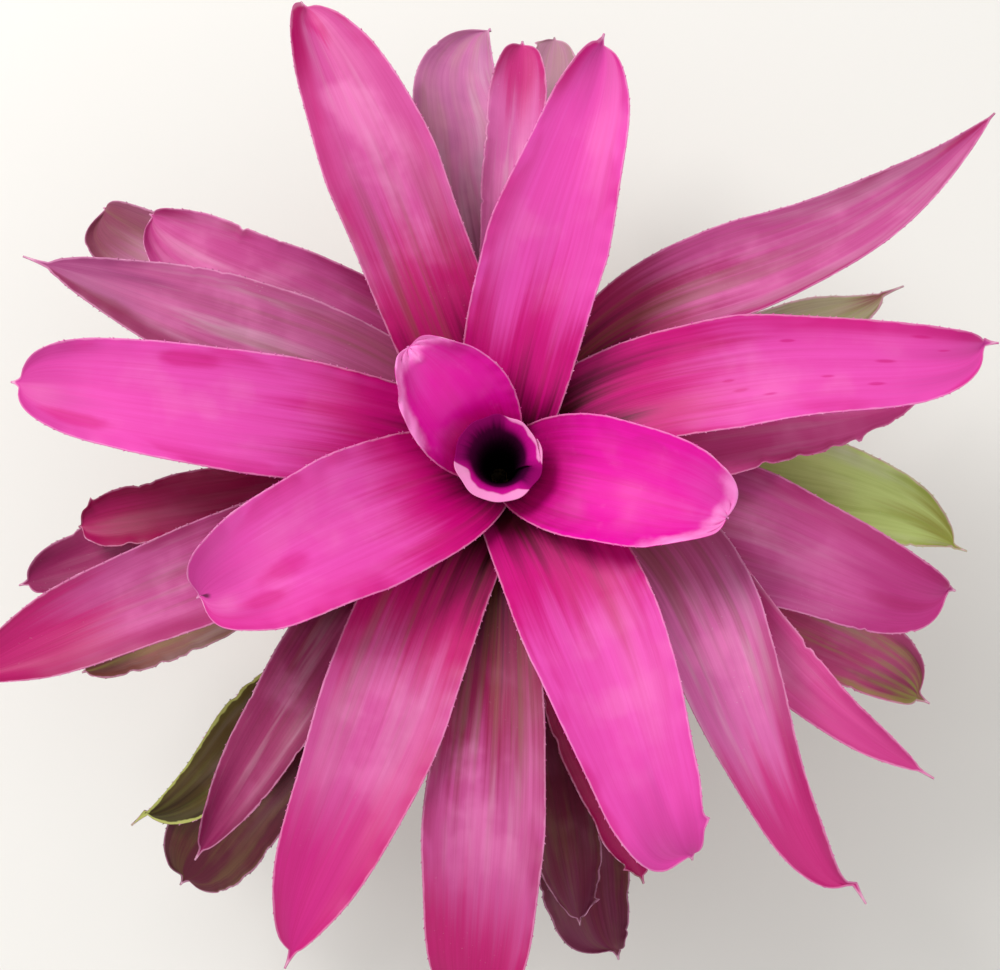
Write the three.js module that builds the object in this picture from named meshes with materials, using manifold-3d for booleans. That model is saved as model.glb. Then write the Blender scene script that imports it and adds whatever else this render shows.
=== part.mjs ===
// A neoregelia bromeliad in a plain clay pot: a flat, open rosette of strap leaves that clasp a short
// stem, each one a thin channelled blade with a blunt end and a small hard point.
// Millimetres, +Z up. The origin is the centre of the pot's underside, and the stem stands on the Z axis.
import * as THREE from 'three';
import Module from 'manifold-3d';
import { mergeVertices } from 'three/addons/utils/BufferGeometryUtils.js';

const wasm = await Module();
wasm.setup();

// ---------------------------------------------------------------- driving dimensions

const GAP = 0.35; // left between pieces that touch

const POT = {
  height: 110, topRadius: 68, footRadius: 47, wall: 5, floor: 7, sides: 40,
  rimHeight: 24, rimStep: 3.5, rimFlare: 1.5, edge: 1.2,
  drains: 3, drainRadius: 5, drainCircle: 22, drainSides: 16,
};

// The potting mix: the level of its top, the height of its lumps, and the mesh that they are on.
const MIX = { level: 98, lump: 1.6, rings: 4, spokes: 32, seed: 7 };

// The stem: a plug that stands in the mix, and a cone that lies just inside the leaves' feet.
const STEM = {
  plugRadius: 12, plugBottom: 58, plugRound: 4, coneBottom: 99, clear: 0.9, bud: 12, sides: 28,
};

// Where the leaves spring from: a cone on the stem, the youngest leaf at its top and the oldest at its foot.
const SEAT = { topRadius: 5, footRadius: 35, topZ: 150, footZ: 101.5, spread: 0.85 };

// How leaves lean with age, in degrees above the horizon: at the sheath and at mid blade. They bend from the
// one to the other between bendFrom and bendTo, in millimetres from the foot. They droop, and turn their
// ends down, over these shares of their length.
const LEAN = {
  sheathYoung: 85, sheathOld: 52, bladeYoung: 24, upright: 30, uprightAge: 0.07,
  bendFrom: 12, bendTo: 92, droop: 28, droopFrom: 0.4, droopTo: 1.05, hookFrom: 0.88,
};

// How leaves swing sideways: over their inner half, and again over their outer half.
const SWING = { from: 0.08, middle: 0.5 };

// The sheath. wrap: half the angle that it clasps, in radians. It opens into the blade between from and to,
// in millimetres from the foot. pitch: how far the rolled heart leaf's outer edge lies outside its inner
// one, and slope: how much lower than its tip its edges end.
const SHEATH = { thickness: 0.8, wrap: 1.5, maxClasp: 1.3, from: 30, to: 110, pitch: 1.6, slope: 0.07 };

// The blade, thinner at its edges and tip, the long waves of its edges, and the hard point that ends it.
const BLADE = { thickness: 1.3, edgeLoss: 0.45, tipLoss: 0.35, least: 0.7, waist: 0.8, length: 40 };
const CUP = { from: 0.2, to: 0.55, least: 0.05 };
const WAVE = { height: 1.2, count: 2.5, step: 2.4, skew: 1.2, fullHalfWidth: 12, from: 0.3, to: 0.6 };
const POINT = { start: 0.978, halfWidth: 1.1, end: 0.4 };

// The leaves, from the youngest to the oldest. az: compass bearing of the tip from +X, in degrees. reach:
// from the axis to the tip, seen from above. width: across the blade. sweep: how far it swings sideways in
// its inner half, in degrees, and turn in its outer half. lift: added to its lean. belly: where it is
// widest, as a share of its length. narrow: the share of its width that is gone where its end starts. end:
// how blunt that is, 2 round and 12 square. cup: half the angle of its channel, in radians. hook: how far
// its end turns down. skew: how far its end is cut aslant, as a share of its width. rolled: half the angle
// of the leaf that is rolled into a tube. green: an old leaf that has kept its green.
const LEAVES = [
  { az: 185, reach: 20.5, rolled: 3.5, lift: 16, droop: 0, hook: 30 },
  { az: 131, reach: 68, width: 66, waist: 1, belly: 0.6, narrow: 0.1, end: 3, cup: 0.8, lift: 4,
    hook: 40 },
  { az: 343, reach: 114, width: 69, sweep: -6, belly: 0.6, narrow: 0.2, end: 5, cup: 0.7, hook: 30,
    skew: 0.25 },
  { az: 207.2, reach: 162, width: 76, belly: 0.6, narrow: 0.25, end: 8, cup: 0.6, hook: 35 },
  { az: 75.5, reach: 211, width: 64, sweep: -8, belly: 0.58, narrow: 0.52, end: 8, cup: 0.6, hook: 15 },
  { az: 294, reach: 216, width: 71, sweep: -13, belly: 0.54, narrow: 0.42, end: 14, cup: 0.55,
    hook: 40, skew: -0.15 },
  { az: 172, reach: 240, width: 63, sweep: 8, turn: -3, belly: 0.6, narrow: 0.25, end: 8, cup: 0.5,
    hook: 10 },
  { az: 11.3, reach: 249, width: 58, sweep: -27, turn: -4, belly: 0.55, narrow: 0.4, end: 10,
    cup: 0.6, hook: 10 },
  { az: 247, reach: 267, width: 66, sweep: 14, turn: -8, belly: 0.55, narrow: 0.35, end: 3.6,
    cup: 0.5, hook: 10 },
  { az: 113.4, reach: 253.5, width: 61, sweep: -2, turn: 6, belly: 0.65, narrow: 0.34, end: 3.4,
    cup: 0.6, hook: 15 },
  { az: 267.3, reach: 270, width: 61, waist: 0.45, sweep: -3, belly: 0.7, narrow: 0.2, end: 7,
    cup: 0.5, hook: 20 },
  { az: 35, reach: 303, width: 54, waist: 0.25, sweep: -44, turn: 30, belly: 0.55, narrow: 0.78,
    end: 4, cup: 0.9 },
  { az: 202.6, reach: 285, width: 55, sweep: 4, belly: 0.55, narrow: 0.25, end: 4, cup: 0.7 },
  { az: 308, reach: 280, width: 59, sweep: -53, turn: 9, belly: 0.5, narrow: 0.72, end: 14, cup: 0.7 },
  { az: 156.2, reach: 264, width: 54, sweep: 22, turn: -6, belly: 0.6, narrow: 0.5, end: 2, cup: 0.5 },
  { az: 8.5, reach: 221, width: 57, belly: 0.45, narrow: 0.7, end: 4, cup: 0.7 },
  { az: 232.6, reach: 248, width: 46, sweep: 20, belly: 0.5, narrow: 0.4, end: 4, cup: 0.7 },
  { az: 87, reach: 225, width: 34, sweep: -4, belly: 0.7, narrow: 0.1, end: 9, cup: 0.8 },
  { az: 324, reach: 267, width: 40, sweep: -35, turn: 22, belly: 0.5, narrow: 0.5, end: 3, cup: 0.8,
    lift: 1 },
  { az: 188, reach: 216, width: 36, sweep: 4, belly: 0.6, narrow: 0.1, end: 12, cup: 0.7, lift: 2 },
  { az: 343.8, reach: 240, width: 72, sweep: -3, belly: 0.5, narrow: 0.47, end: 12, cup: 0.5 },
  { az: 144.5, reach: 228, width: 60, sweep: 26, turn: -4, belly: 0.5, narrow: 0.2, end: 6, cup: 0.9 },
  { az: 289, reach: 221, width: 42, belly: 0.6, narrow: 0.3, end: 5, cup: 0.8, lift: 3 },
  { az: 93, reach: 241, width: 60, sweep: 10, turn: -16, belly: 0.7, narrow: 0.42, end: 3.5, cup: 0.5 },
  { az: 193, reach: 255, width: 50, belly: 0.6, narrow: 0.3, end: 5, cup: 0.6 },
  { az: 280, reach: 234, width: 44, belly: 0.6, narrow: 0.3, end: 5, cup: 0.45 },
  { az: 352, reach: 247, width: 68, sweep: -16, turn: -4, belly: 0.5, narrow: 0.5, end: 3, cup: 0.5,
    green: true },
  { az: 83, reach: 242, width: 40, belly: 0.6, narrow: 0.3, end: 9, cup: 0.5, green: true },
  { az: 205, reach: 240, width: 42, belly: 0.6, narrow: 0.3, end: 4, cup: 0.6 },
  { az: 333, reach: 253, width: 46, belly: 0.6, narrow: 0.2, end: 8, cup: 0.5, green: true },
  { az: 146, reach: 261, width: 44, belly: 0.6, narrow: 0.1, end: 16, cup: 0.5 },
  { az: 224.3, reach: 264, width: 44, sweep: -16, belly: 0.6, narrow: 0.4, end: 3, cup: 0.4, green: true },
  { az: 25.8, reach: 243, width: 50, belly: 0.5, narrow: 0.6, end: 3, cup: 0.6, green: true },
  { az: 283, reach: 257, width: 54, belly: 0.6, narrow: 0.25, end: 10, cup: 0.5 },
  { az: 231.5, reach: 270, width: 60, belly: 0.6, narrow: 0.15, end: 10, cup: 0.4 },
];
const LAST = LEAVES.length - 1;

// The first leaf of the pink ones, of those with the plainer mesh, of the dull ones and of the old ones.
const RANKS = { pink: 3, plain: 14, dull: 11, old: 20 };

// The rows of each leaf's mesh, as shares of its length, closer together where it bends and at its tip.
const ROWS = {
  rolled: [0, 0.14, 0.3, 0.46, 0.62, 0.78, 0.91, 1],
  fine: [0, 0.07, 0.14, 0.21, 0.29, 0.38, 0.48, 0.58, 0.68, 0.77, 0.85, 0.91, 0.95, POINT.start, 1],
  plain: [0, 0.09, 0.18, 0.28, 0.4, 0.52, 0.64, 0.76, 0.86, 0.93, POINT.start, 1],
};
const COLUMNS = { rolled: 18, fine: 6, plain: 4 };
const SPINE_STEPS = 120;

// ---------------------------------------------------------------- small helpers

const rad = THREE.MathUtils.degToRad;
const lerp = THREE.MathUtils.lerp;
const ease = (from, to, x) => THREE.MathUtils.smoothstep(x, from, to);
const polar = (r, angle, z) => new THREE.Vector3(r * Math.cos(angle), r * Math.sin(angle), z);

// ---------------------------------------------------------------- leaves

// Where a leaf of this rank springs from the stem.
function seatOf(rank) {
  const age = (rank / LAST) ** SEAT.spread;
  return { r: lerp(SEAT.topRadius, SEAT.footRadius, age), z: lerp(SEAT.topZ, SEAT.footZ, age) };
}

// A leaf's elevation above the horizon at share t of its length, in radians.
function leanOf(leaf, rank, length, t) {
  const age = rank / LAST;
  const sheath = lerp(LEAN.sheathYoung, LEAN.sheathOld, age);
  const upright = LEAN.upright * Math.exp(-age / LEAN.uprightAge);
  const blade = LEAN.bladeYoung * (1 - age) + upright + (leaf.lift ?? 0);
  const bend = (blade - sheath) * ease(LEAN.bendFrom, LEAN.bendTo, t * length);
  const droop = (leaf.droop ?? LEAN.droop) * ease(LEAN.droopFrom, LEAN.droopTo, t);
  const hook = (leaf.hook ?? 0) * ease(LEAN.hookFrom, 1, t);
  return rad(sheath + bend - droop - hook);
}

// How far its heading has swung round from its foot's there, in radians.
function swingOf(leaf, t) {
  const inner = (leaf.sweep ?? 0) * ease(SWING.from, SWING.middle, t);
  const outer = (leaf.turn ?? 0) * ease(SWING.middle, 1, t);
  return rad(inner + outer);
}

// A leaf's midline. Its lean and reach give its length, and its tip's bearing gives its foot's.
function spineOf(leaf, rank) {
  const seat = seatOf(rank);
  const start = new THREE.Vector3(seat.r, 0, 0);
  let length = leaf.reach + BLADE.length;
  let run = [];
  for (let round = 0; round < 12; round++) {
    run = [new THREE.Vector3()];
    for (let i = 0; i < SPINE_STEPS; i++) {
      const t = (i + 0.5) / SPINE_STEPS;
      const lean = leanOf(leaf, rank, length, t);
      const step = polar(Math.cos(lean), swingOf(leaf, t), Math.sin(lean));
      run.push(run[i].clone().addScaledVector(step, 1 / SPINE_STEPS));
    }
    // The length that puts the tip at its reach is the root of a quadratic. The lean changes with the
    // length, so each round goes half of the way there.
    const plan = run[SPINE_STEPS].clone().setZ(0);
    const along = start.dot(plan);
    const square = plan.lengthSq();
    const beyond = start.lengthSq() - leaf.reach ** 2;
    const exact = (-along + Math.sqrt(along ** 2 - square * beyond)) / square;
    length = (length + exact) / 2;
  }
  start.setZ(seat.z);
  const points = run.map((p) => p.clone().multiplyScalar(length).add(start));
  const tip = points[SPINE_STEPS];
  const foot = rad(leaf.az) - Math.atan2(tip.y, tip.x);
  const axis = new THREE.Vector3(0, 0, 1);
  return { length, foot, points: points.map((p) => p.applyAxisAngle(axis, foot)) };
}

// The midline's point and the directions along, across and out of the upper face, at share t.
function stationOf(leaf, rank, spine, t) {
  const at = Math.min(t * SPINE_STEPS, SPINE_STEPS - 1e-6);
  const i = Math.floor(at);
  const centre = spine.points[i].clone().lerp(spine.points[i + 1], at - i);
  const lean = leanOf(leaf, rank, spine.length, t);
  const heading = spine.foot + swingOf(leaf, t);
  const along = polar(Math.cos(lean), heading, Math.sin(lean));
  const across = polar(1, heading + Math.PI / 2, 0);
  return { centre, along, across, up: along.clone().cross(across), lean };
}

// Half the leaf's width at share t, where its midline is r from the axis.
function halfWidthOf(leaf, t, r) {
  const swell = lerp(leaf.waist ?? BLADE.waist, 1, ease(0.1, leaf.belly, t));
  const past = Math.max(0, (t - leaf.belly) / (POINT.start + 0.01 - leaf.belly));
  const narrowed = 1 - leaf.narrow * Math.min(1, past) ** 1.2;
  const rounded = Math.sqrt(Math.max(0, 1 - past ** leaf.end));
  const blade = (leaf.width / 2) * swell * narrowed * rounded;
  const sheath = SHEATH.wrap * r;
  const half = (sheath * blade) / (sheath ** 4 + blade ** 4 + 1e-6) ** 0.25;
  return Math.max(half, lerp(POINT.halfWidth, POINT.end, ease(POINT.start, 1, t)));
}

// A point of the rolled heart leaf's middle surface: a spiral round the axis, wider at its mouth.
function rolledSurface(leaf, spine, centre, t, u) {
  const r = Math.hypot(centre.x, centre.y);
  const bearing = Math.atan2(centre.y, centre.x);
  const lower = SHEATH.slope * u * u * t;
  const spiral = r * (1 - lower) + (SHEATH.pitch * u * leaf.rolled) / (2 * Math.PI);
  return polar(spiral, bearing + u * leaf.rolled, centre.z - lower * spine.length);
}

// A point of a leaf's middle surface, at share t of its length and u from -1 to 1 across it.
function surfaceOf(leaf, rank, spine, t, u) {
  const { centre, along, across, up, lean } = stationOf(leaf, rank, spine, t);
  if (leaf.rolled) return rolledSurface(leaf, spine, centre, t, u);
  // Low down, the leaf is part of a cone round the stem.
  const r = Math.hypot(centre.x, centre.y);
  const half = halfWidthOf(leaf, t, r);
  const sheath = polar(r, Math.atan2(centre.y, centre.x) + (u * half) / r, centre.z);
  // Further out it is a channel of its own, waved at its edges and cut aslant at its end.
  const clasp = Math.min(SHEATH.maxClasp, (half * Math.sin(lean)) / r);
  const cup = Math.max(CUP.least, lerp(clasp, leaf.cup, ease(CUP.from, CUP.to, t)));
  const phase = 2 * Math.PI * WAVE.count * t + WAVE.step * rank + WAVE.skew * u;
  const swell = ease(WAVE.from, WAVE.to, t) * Math.min(1, half / WAVE.fullHalfWidth);
  const wave = WAVE.height * Math.abs(u) ** 3 * Math.sin(phase) * swell;
  const slant = (leaf.skew ?? 0) * u * half * ease(0.6, 0.95, t);
  const blade = centre
    .addScaledVector(across, (half / cup) * Math.sin(cup * u))
    .addScaledVector(up, (half / cup) * (1 - Math.cos(cup * u)) + wave)
    .addScaledVector(along, slant);
  return sheath.lerp(blade, ease(SHEATH.from, SHEATH.to, t * spine.length));
}

// The leaf's normal there, out of its upper face.
function normalOf(leaf, rank, spine, t, u) {
  const dt = 0.004;
  const du = 0.05;
  const ahead = surfaceOf(leaf, rank, spine, Math.min(t + dt, 1), u);
  const behind = surfaceOf(leaf, rank, spine, Math.max(t - dt, 0), u);
  const left = surfaceOf(leaf, rank, spine, t, Math.min(u + du, 1));
  const right = surfaceOf(leaf, rank, spine, t, Math.max(u - du, -1));
  return ahead.sub(behind).cross(left.sub(right)).normalize();
}

// Its thickness there: thin at the sheath, at the edges and at the tip.
function thicknessOf(leaf, t, u) {
  if (leaf.rolled) return SHEATH.thickness;
  const body = lerp(SHEATH.thickness, BLADE.thickness, ease(0.15, 0.55, t));
  const lost = BLADE.edgeLoss * Math.abs(u) ** 3 + BLADE.tipLoss * ease(0.85, 1, t);
  return Math.max(BLADE.least, body - lost);
}

// One leaf as a thin closed blade: its upper face, its lower face and the edge between them.
function leafGeometry(leaf, rank) {
  const spine = spineOf(leaf, rank);
  const mesh = leaf.rolled ? 'rolled' : rank < RANKS.plain ? 'fine' : 'plain';
  const rows = ROWS[mesh];
  const columns = COLUMNS[mesh];
  const upper = [];
  const lower = [];
  for (const t of rows) {
    for (let j = 0; j <= columns; j++) {
      const u = (2 * j) / columns - 1;
      const half = thicknessOf(leaf, t, u) / 2;
      const point = surfaceOf(leaf, rank, spine, t, u);
      const normal = normalOf(leaf, rank, spine, t, u);
      upper.push(point.clone().addScaledVector(normal, half));
      lower.push(point.addScaledVector(normal, -half));
    }
  }
  const positions = [...upper, ...lower].flatMap((p) => p.toArray());
  return new THREE.BufferGeometry()
    .setAttribute('position', new THREE.Float32BufferAttribute(positions, 3))
    .setIndex(bladeFaces(rows.length, columns));
}

// The triangles of such a blade, split alike on both faces. Its lower points follow its upper ones.
function bladeFaces(rows, columns) {
  const across = columns + 1;
  const under = rows * across;
  const faces = [];
  const quad = (a, b, c, d) => faces.push(a, b, c, a, c, d);
  for (let i = 0; i + 1 < rows; i++) {
    for (let j = 0; j < columns; j++) {
      const a = i * across + j;
      const b = a + across;
      quad(a, b, b + 1, a + 1);
      quad(under + a, under + a + 1, under + b + 1, under + b);
    }
    const right = i * across;
    const left = right + columns;
    quad(right, under + right, under + right + across, right + across);
    quad(left, left + across, under + left + across, under + left);
  }
  const tip = (rows - 1) * across;
  for (let j = 0; j < columns; j++) {
    quad(j, j + 1, under + j + 1, under + j);
    quad(tip + j, under + tip + j, under + tip + j + 1, tip + j + 1);
  }
  return faces;
}

// ---------------------------------------------------------------- solids of revolution and cuts

// A profile of [radius, height] pairs turned about the Z axis.
function turned(profile, sides) {
  const points = profile.map(([r, z]) => new THREE.Vector2(r, z));
  return new THREE.LatheGeometry(points, sides).rotateX(Math.PI / 2);
}

function solidFrom(geometry) {
  const bare = geometry.clone();
  bare.deleteAttribute('normal');
  bare.deleteAttribute('uv');
  const merged = mergeVertices(bare, 1e-3);
  const mesh = new wasm.Mesh({
    numProp: 3,
    vertProperties: merged.attributes.position.array,
    triVerts: new Uint32Array(merged.index.array),
  });
  return new wasm.Manifold(mesh);
}

function geometryFrom(solid) {
  const mesh = solid.getMesh();
  return new THREE.BufferGeometry()
    .setAttribute('position', new THREE.BufferAttribute(mesh.vertProperties, 3))
    .setIndex(new THREE.BufferAttribute(mesh.triVerts, 1));
}

// ---------------------------------------------------------------- stem

// The stem: its plug, its cone inside the leaves' feet, and the growing bud.
function stemGeometry() {
  const profile = [
    [0, STEM.plugBottom],
    [STEM.plugRadius - STEM.plugRound, STEM.plugBottom + 1],
    [STEM.plugRadius, STEM.plugBottom + 2 * STEM.plugRound],
    [STEM.plugRadius, STEM.coneBottom],
    [SEAT.footRadius - 2, STEM.coneBottom],
    [SEAT.footRadius + 1, SEAT.footZ - GAP - 1],
  ];
  for (let rank = LAST; rank > 0; rank -= 4) {
    const { r, z } = seatOf(rank);
    profile.push([r - STEM.clear, z - GAP]);
  }
  const top = seatOf(0);
  profile.push([top.r - STEM.clear - SHEATH.pitch / 2, top.z - GAP]);
  profile.push([top.r * 0.3, top.z + STEM.bud * 0.4]);
  profile.push([0, top.z + STEM.bud]);
  return turned(profile, STEM.sides);
}

// ---------------------------------------------------------------- pot

// The pot's outer radius at height z, up to the foot of its rim, and its inner radius all the way up.
const rimBottom = POT.height - POT.rimHeight;
const outside = (z) => lerp(POT.footRadius, POT.topRadius - POT.rimStep, z / rimBottom);
const inside = (z) => outside(Math.min(z, rimBottom)) - POT.wall;

// The pot: a tapered body with a thicker rim and an open top, and drain holes in its floor.
function potGeometry() {
  const flared = POT.topRadius + POT.rimFlare;
  const mouth = inside(POT.height);
  const profile = [
    [0, 0],
    [POT.footRadius - POT.edge, 0],
    [POT.footRadius, POT.edge],
    [outside(rimBottom), rimBottom],
    [POT.topRadius - POT.edge, rimBottom],
    [POT.topRadius, rimBottom + POT.edge],
    [flared, POT.height - POT.edge],
    [flared - POT.edge, POT.height],
    [mouth + POT.edge, POT.height],
    [mouth, POT.height - POT.edge],
    [mouth, rimBottom],
    [inside(POT.floor + 2), POT.floor + 2],
    [inside(POT.floor) - 2, POT.floor],
    [0, POT.floor],
  ];
  let pot = solidFrom(turned(profile, POT.sides));
  for (let i = 0; i < POT.drains; i++) {
    const cut = new THREE.CylinderGeometry(POT.drainRadius, POT.drainRadius, POT.floor * 3, POT.drainSides);
    const place = polar(POT.drainCircle, Math.PI / 2 + (i * 2 * Math.PI) / POT.drains, POT.floor / 2);
    cut.rotateX(Math.PI / 2).translate(place.x, place.y, place.z);
    pot = pot.subtract(solidFrom(cut));
  }
  return geometryFrom(pot);
}

// ---------------------------------------------------------------- potting mix

// The potting mix: it fills the pot, with a lumpy top and a plain hole for the stem.
function mixGeometry() {
  const hole = STEM.plugRadius + GAP;
  const holeBottom = STEM.plugBottom - GAP;
  const holeTop = STEM.coneBottom - GAP;
  const floor = POT.floor + GAP;
  const edge = inside(MIX.level) - GAP;
  const underCone = SEAT.footRadius + 2;
  const profile = [
    [0, floor],
    [inside(floor) - GAP - 3, floor],
    [inside(floor + 3) - GAP, floor + 3],
    [inside(rimBottom) - GAP, rimBottom],
  ];
  for (let i = 0; i <= MIX.rings; i++) {
    profile.push([lerp(edge, underCone, i / MIX.rings), MIX.level]);
  }
  profile.push([hole + 1, holeTop], [hole, holeTop - 1], [hole, holeBottom], [0, holeBottom]);
  const geometry = turned(profile, MIX.spokes);
  raiseLumps(geometry, underCone + 1, edge - 1);
  return geometry;
}

// Numbers from 0 to 1 that are the same each time.
function seededRandom(seed) {
  let state = seed;
  return () => {
    state = (state * 16807) % 2147483647;
    return state / 2147483647;
  };
}

// Makes the mix's top uneven between two radii, alike for vertices that share a place.
function raiseLumps(geometry, fromRadius, toRadius) {
  const random = seededRandom(MIX.seed);
  const position = geometry.getAttribute('position');
  const heights = new Map();
  for (let i = 0; i < position.count; i++) {
    const x = position.getX(i);
    const y = position.getY(i);
    const r = Math.hypot(x, y);
    const onTop = Math.abs(position.getZ(i) - MIX.level) < 0.1;
    if (!onTop || r < fromRadius || r > toRadius) continue;
    const place = Math.round(x * 10) + ',' + Math.round(y * 10);
    if (!heights.has(place)) heights.set(place, MIX.lump * (2 * random() - 1.2));
    position.setZ(i, MIX.level + heights.get(place));
  }
}

// ---------------------------------------------------------------- the whole plant

const finish = (color, roughness) => new THREE.MeshStandardMaterial({ color, roughness, metalness: 0 });
const FINISHES = {
  vivid: finish(0xd81b9a, 0.42),
  pink: finish(0xe62fa6, 0.42),
  dull: finish(0xc8478f, 0.46),
  old: finish(0x8f5a74, 0.5),
  green: finish(0x8fa653, 0.5),
  stem: finish(0x7d6a45, 0.8),
  mix: finish(0x3a2a20, 0.95),
  clay: finish(0xb5653f, 0.85),
};

function leafFinish(leaf, rank) {
  if (leaf.green) return FINISHES.green;
  if (rank < RANKS.pink) return FINISHES.vivid;
  if (rank < RANKS.dull) return FINISHES.pink;
  return rank < RANKS.old ? FINISHES.dull : FINISHES.old;
}

function named(name, geometry, material) {
  const mesh = new THREE.Mesh(geometry, material);
  mesh.name = name;
  return mesh;
}

const plant = new THREE.Group();
plant.add(named('pot', potGeometry(), FINISHES.clay));
plant.add(named('potting_mix', mixGeometry(), FINISHES.mix));
plant.add(named('stem', stemGeometry(), FINISHES.stem));
LEAVES.forEach((leaf, rank) => {
  const name = 'leaf_' + String(rank + 1).padStart(2, '0');
  plant.add(named(name, leafGeometry(leaf, rank), leafFinish(leaf, rank)));
});

export default plant;
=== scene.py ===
"""Dresses a potted neoregelia: every leaf of its rosette, its stem, the potting mix and the clay pot."""

import math
import random

import bmesh
import bpy
import numpy as np
from bpy.props import FloatProperty, FloatVectorProperty, IntProperty, PointerProperty
from mathutils import Matrix, Vector


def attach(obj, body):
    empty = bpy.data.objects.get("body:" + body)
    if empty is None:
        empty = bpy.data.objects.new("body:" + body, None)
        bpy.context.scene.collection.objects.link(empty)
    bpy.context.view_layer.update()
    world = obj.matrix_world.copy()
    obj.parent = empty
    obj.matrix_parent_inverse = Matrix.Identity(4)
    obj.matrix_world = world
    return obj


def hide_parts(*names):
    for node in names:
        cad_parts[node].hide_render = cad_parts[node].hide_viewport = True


bl_info = {
    "name": "Potted Neoregelia",
    "version": (1, 0, 0),
    "blender": (4, 5, 0),
    "location": "View3D > Sidebar > Neoregelia",
    "description": "Dresses a potted neoregelia: its leaves, stem, potting mix and clay pot",
    "category": "Object",
}

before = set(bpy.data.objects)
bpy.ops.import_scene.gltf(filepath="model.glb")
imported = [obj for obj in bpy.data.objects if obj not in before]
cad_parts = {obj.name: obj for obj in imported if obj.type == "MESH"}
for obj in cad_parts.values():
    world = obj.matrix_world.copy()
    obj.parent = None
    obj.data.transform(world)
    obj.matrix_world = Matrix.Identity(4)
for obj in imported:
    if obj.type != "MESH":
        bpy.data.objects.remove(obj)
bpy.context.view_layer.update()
BODY = "root"

# Lengths in the tables and formulas below are in millimetres. They become metres when a mesh is made.
MM = 0.001

# ---------------------------------------------------------------- how the leaves grow

# Where the leaves spring from: a cone on the stem, the youngest leaf at its top and the oldest at its foot.
SEAT = dict(top_radius=5, foot_radius=35, top_z=150, foot_z=101.5, spread=0.85)

# How leaves lean with age, in degrees above the horizon, at the sheath and at mid blade. They bend from the
# one to the other between bend_from and bend_to, in millimetres from the foot. They droop, and turn their
# ends down, over shares of their length.
LEAN = dict(
    sheath_young=85, sheath_old=52, blade_young=24, upright=30, upright_age=0.07,
    bend_from=12, bend_to=92, droop_from=0.4, droop_to=1.05, hook_from=0.88,
)  # fmt: skip

# How leaves swing sideways: over their inner half, and again over their outer half.
SWING = dict(start=0.08, middle=0.5)

# The sheath. wrap: half the angle that it clasps, in radians. It opens into the blade between start and end,
# in millimetres from the foot. pitch and slope shape the rolled heart leaf, which thins to rim at its end.
SHEATH = dict(
    thickness=0.8, wrap=1.5, most_clasp=1.3, start=30, end=110, pitch=1.6, slope=0.07, rim=0.5, rim_from=0.9,
)  # fmt: skip

# The blade. It thickens between thick_start and thick_end, and thins at its edges and from tip_from on. It
# widens from its waist at widen_from, and narrows by the power taper. spare: a first guess at how much longer
# it is than its reach.
BLADE = dict(
    thickness=1.3, thick_start=0.15, thick_end=0.55, edge_loss=0.95, edge_power=8, tip_loss=0.35,
    tip_from=0.85, least=0.3, widen_from=0.1, taper=1.2, spare=40,
)  # fmt: skip

# The channel that it bends into, the long waves of its edges, and where an end that is cut aslant begins.
CUP = dict(start=0.2, end=0.55, least=0.05)
WAVE = dict(height=1.2, count=2.5, step=2.4, skew=1.2, full_half_width=12, start=0.3, end=0.6)
SKEW = dict(start=0.6, end=0.95)

# How steeply waves, nicks and folds grow towards an edge, and how sharply one outline gives way to another.
EDGE_POWER = 3
BLEND_POWER = 4

# The point that a blade's end draws out into, from shoulders that curve in. Its length is the leaf's cusp,
# and its outline comes in between start and end. counter: how far the blade bows the other way by
# counter_end, as a share of aim.
CUSP = dict(
    set_in=0.75, shoulder=0.5, flare=0.6, power=1.7, half_width=0.35, start=0.5, end=0.8, counter=0.55,
    counter_end=0.9,
)  # fmt: skip

# What most leaves have. Each leaf's own values follow, from the youngest to the oldest, with lengths in
# millimetres and angles in degrees.
# az: compass bearing of the tip from +X. reach: from the axis to the tip, seen from above.
# width: across the blade. belly: where it is widest, as a share of its length. waist: how wide it is near the
# sheath, as a share of that. narrow: the share of its width that is gone where its end starts. end: how blunt
# that is, 2 round and 12 square.
# sweep, turn: how far it swings sideways in its inner and in its outer half.
# lift: added to its lean. droop, hook: how far it and its end turn down.
# cup: half the angle of its channel, in radians. rolled: the same for a leaf that is rolled into a tube.
# skew: how far its end is cut aslant, as a share of its width.
# cusp: the length of its point. aim: how far that stands to the left of its middle.
# horn: where along it a second point stands out from its left edge, or, below 0, from its right.
# fold: how far its left edge turns up near its end, and how wide the painted shade on it is there. notch: how
# deep its end is nicked.
# lip: the width of the pale rim that its end curls up into, from the share of its length that lip_from gives,
# on the left if lip_side is 1 and on the right if it is -1.
# frayed: how ragged its edges are.
# tone: its colouring. tinged: where its tip's colour begins. early: how much nearer its foot colours change.
# stripe: how much deeper its left edge's colour is, partly its own colour and partly painted shade of a fold.
# blots: deeper spots on it, each with its place across it, its place along it and its size.
USUAL = dict(
    belly=0.6, waist=0.8, narrow=0.3, end=5, sweep=0, turn=0, lift=0, droop=28, hook=0, cup=0.5, rolled=0,
    skew=0, cusp=4, aim=0, horn=0, fold=0, notch=0, lip=0, frayed=0, tinged=0.8, early=0, stripe=0, blots=(),
)  # fmt: skip
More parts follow.
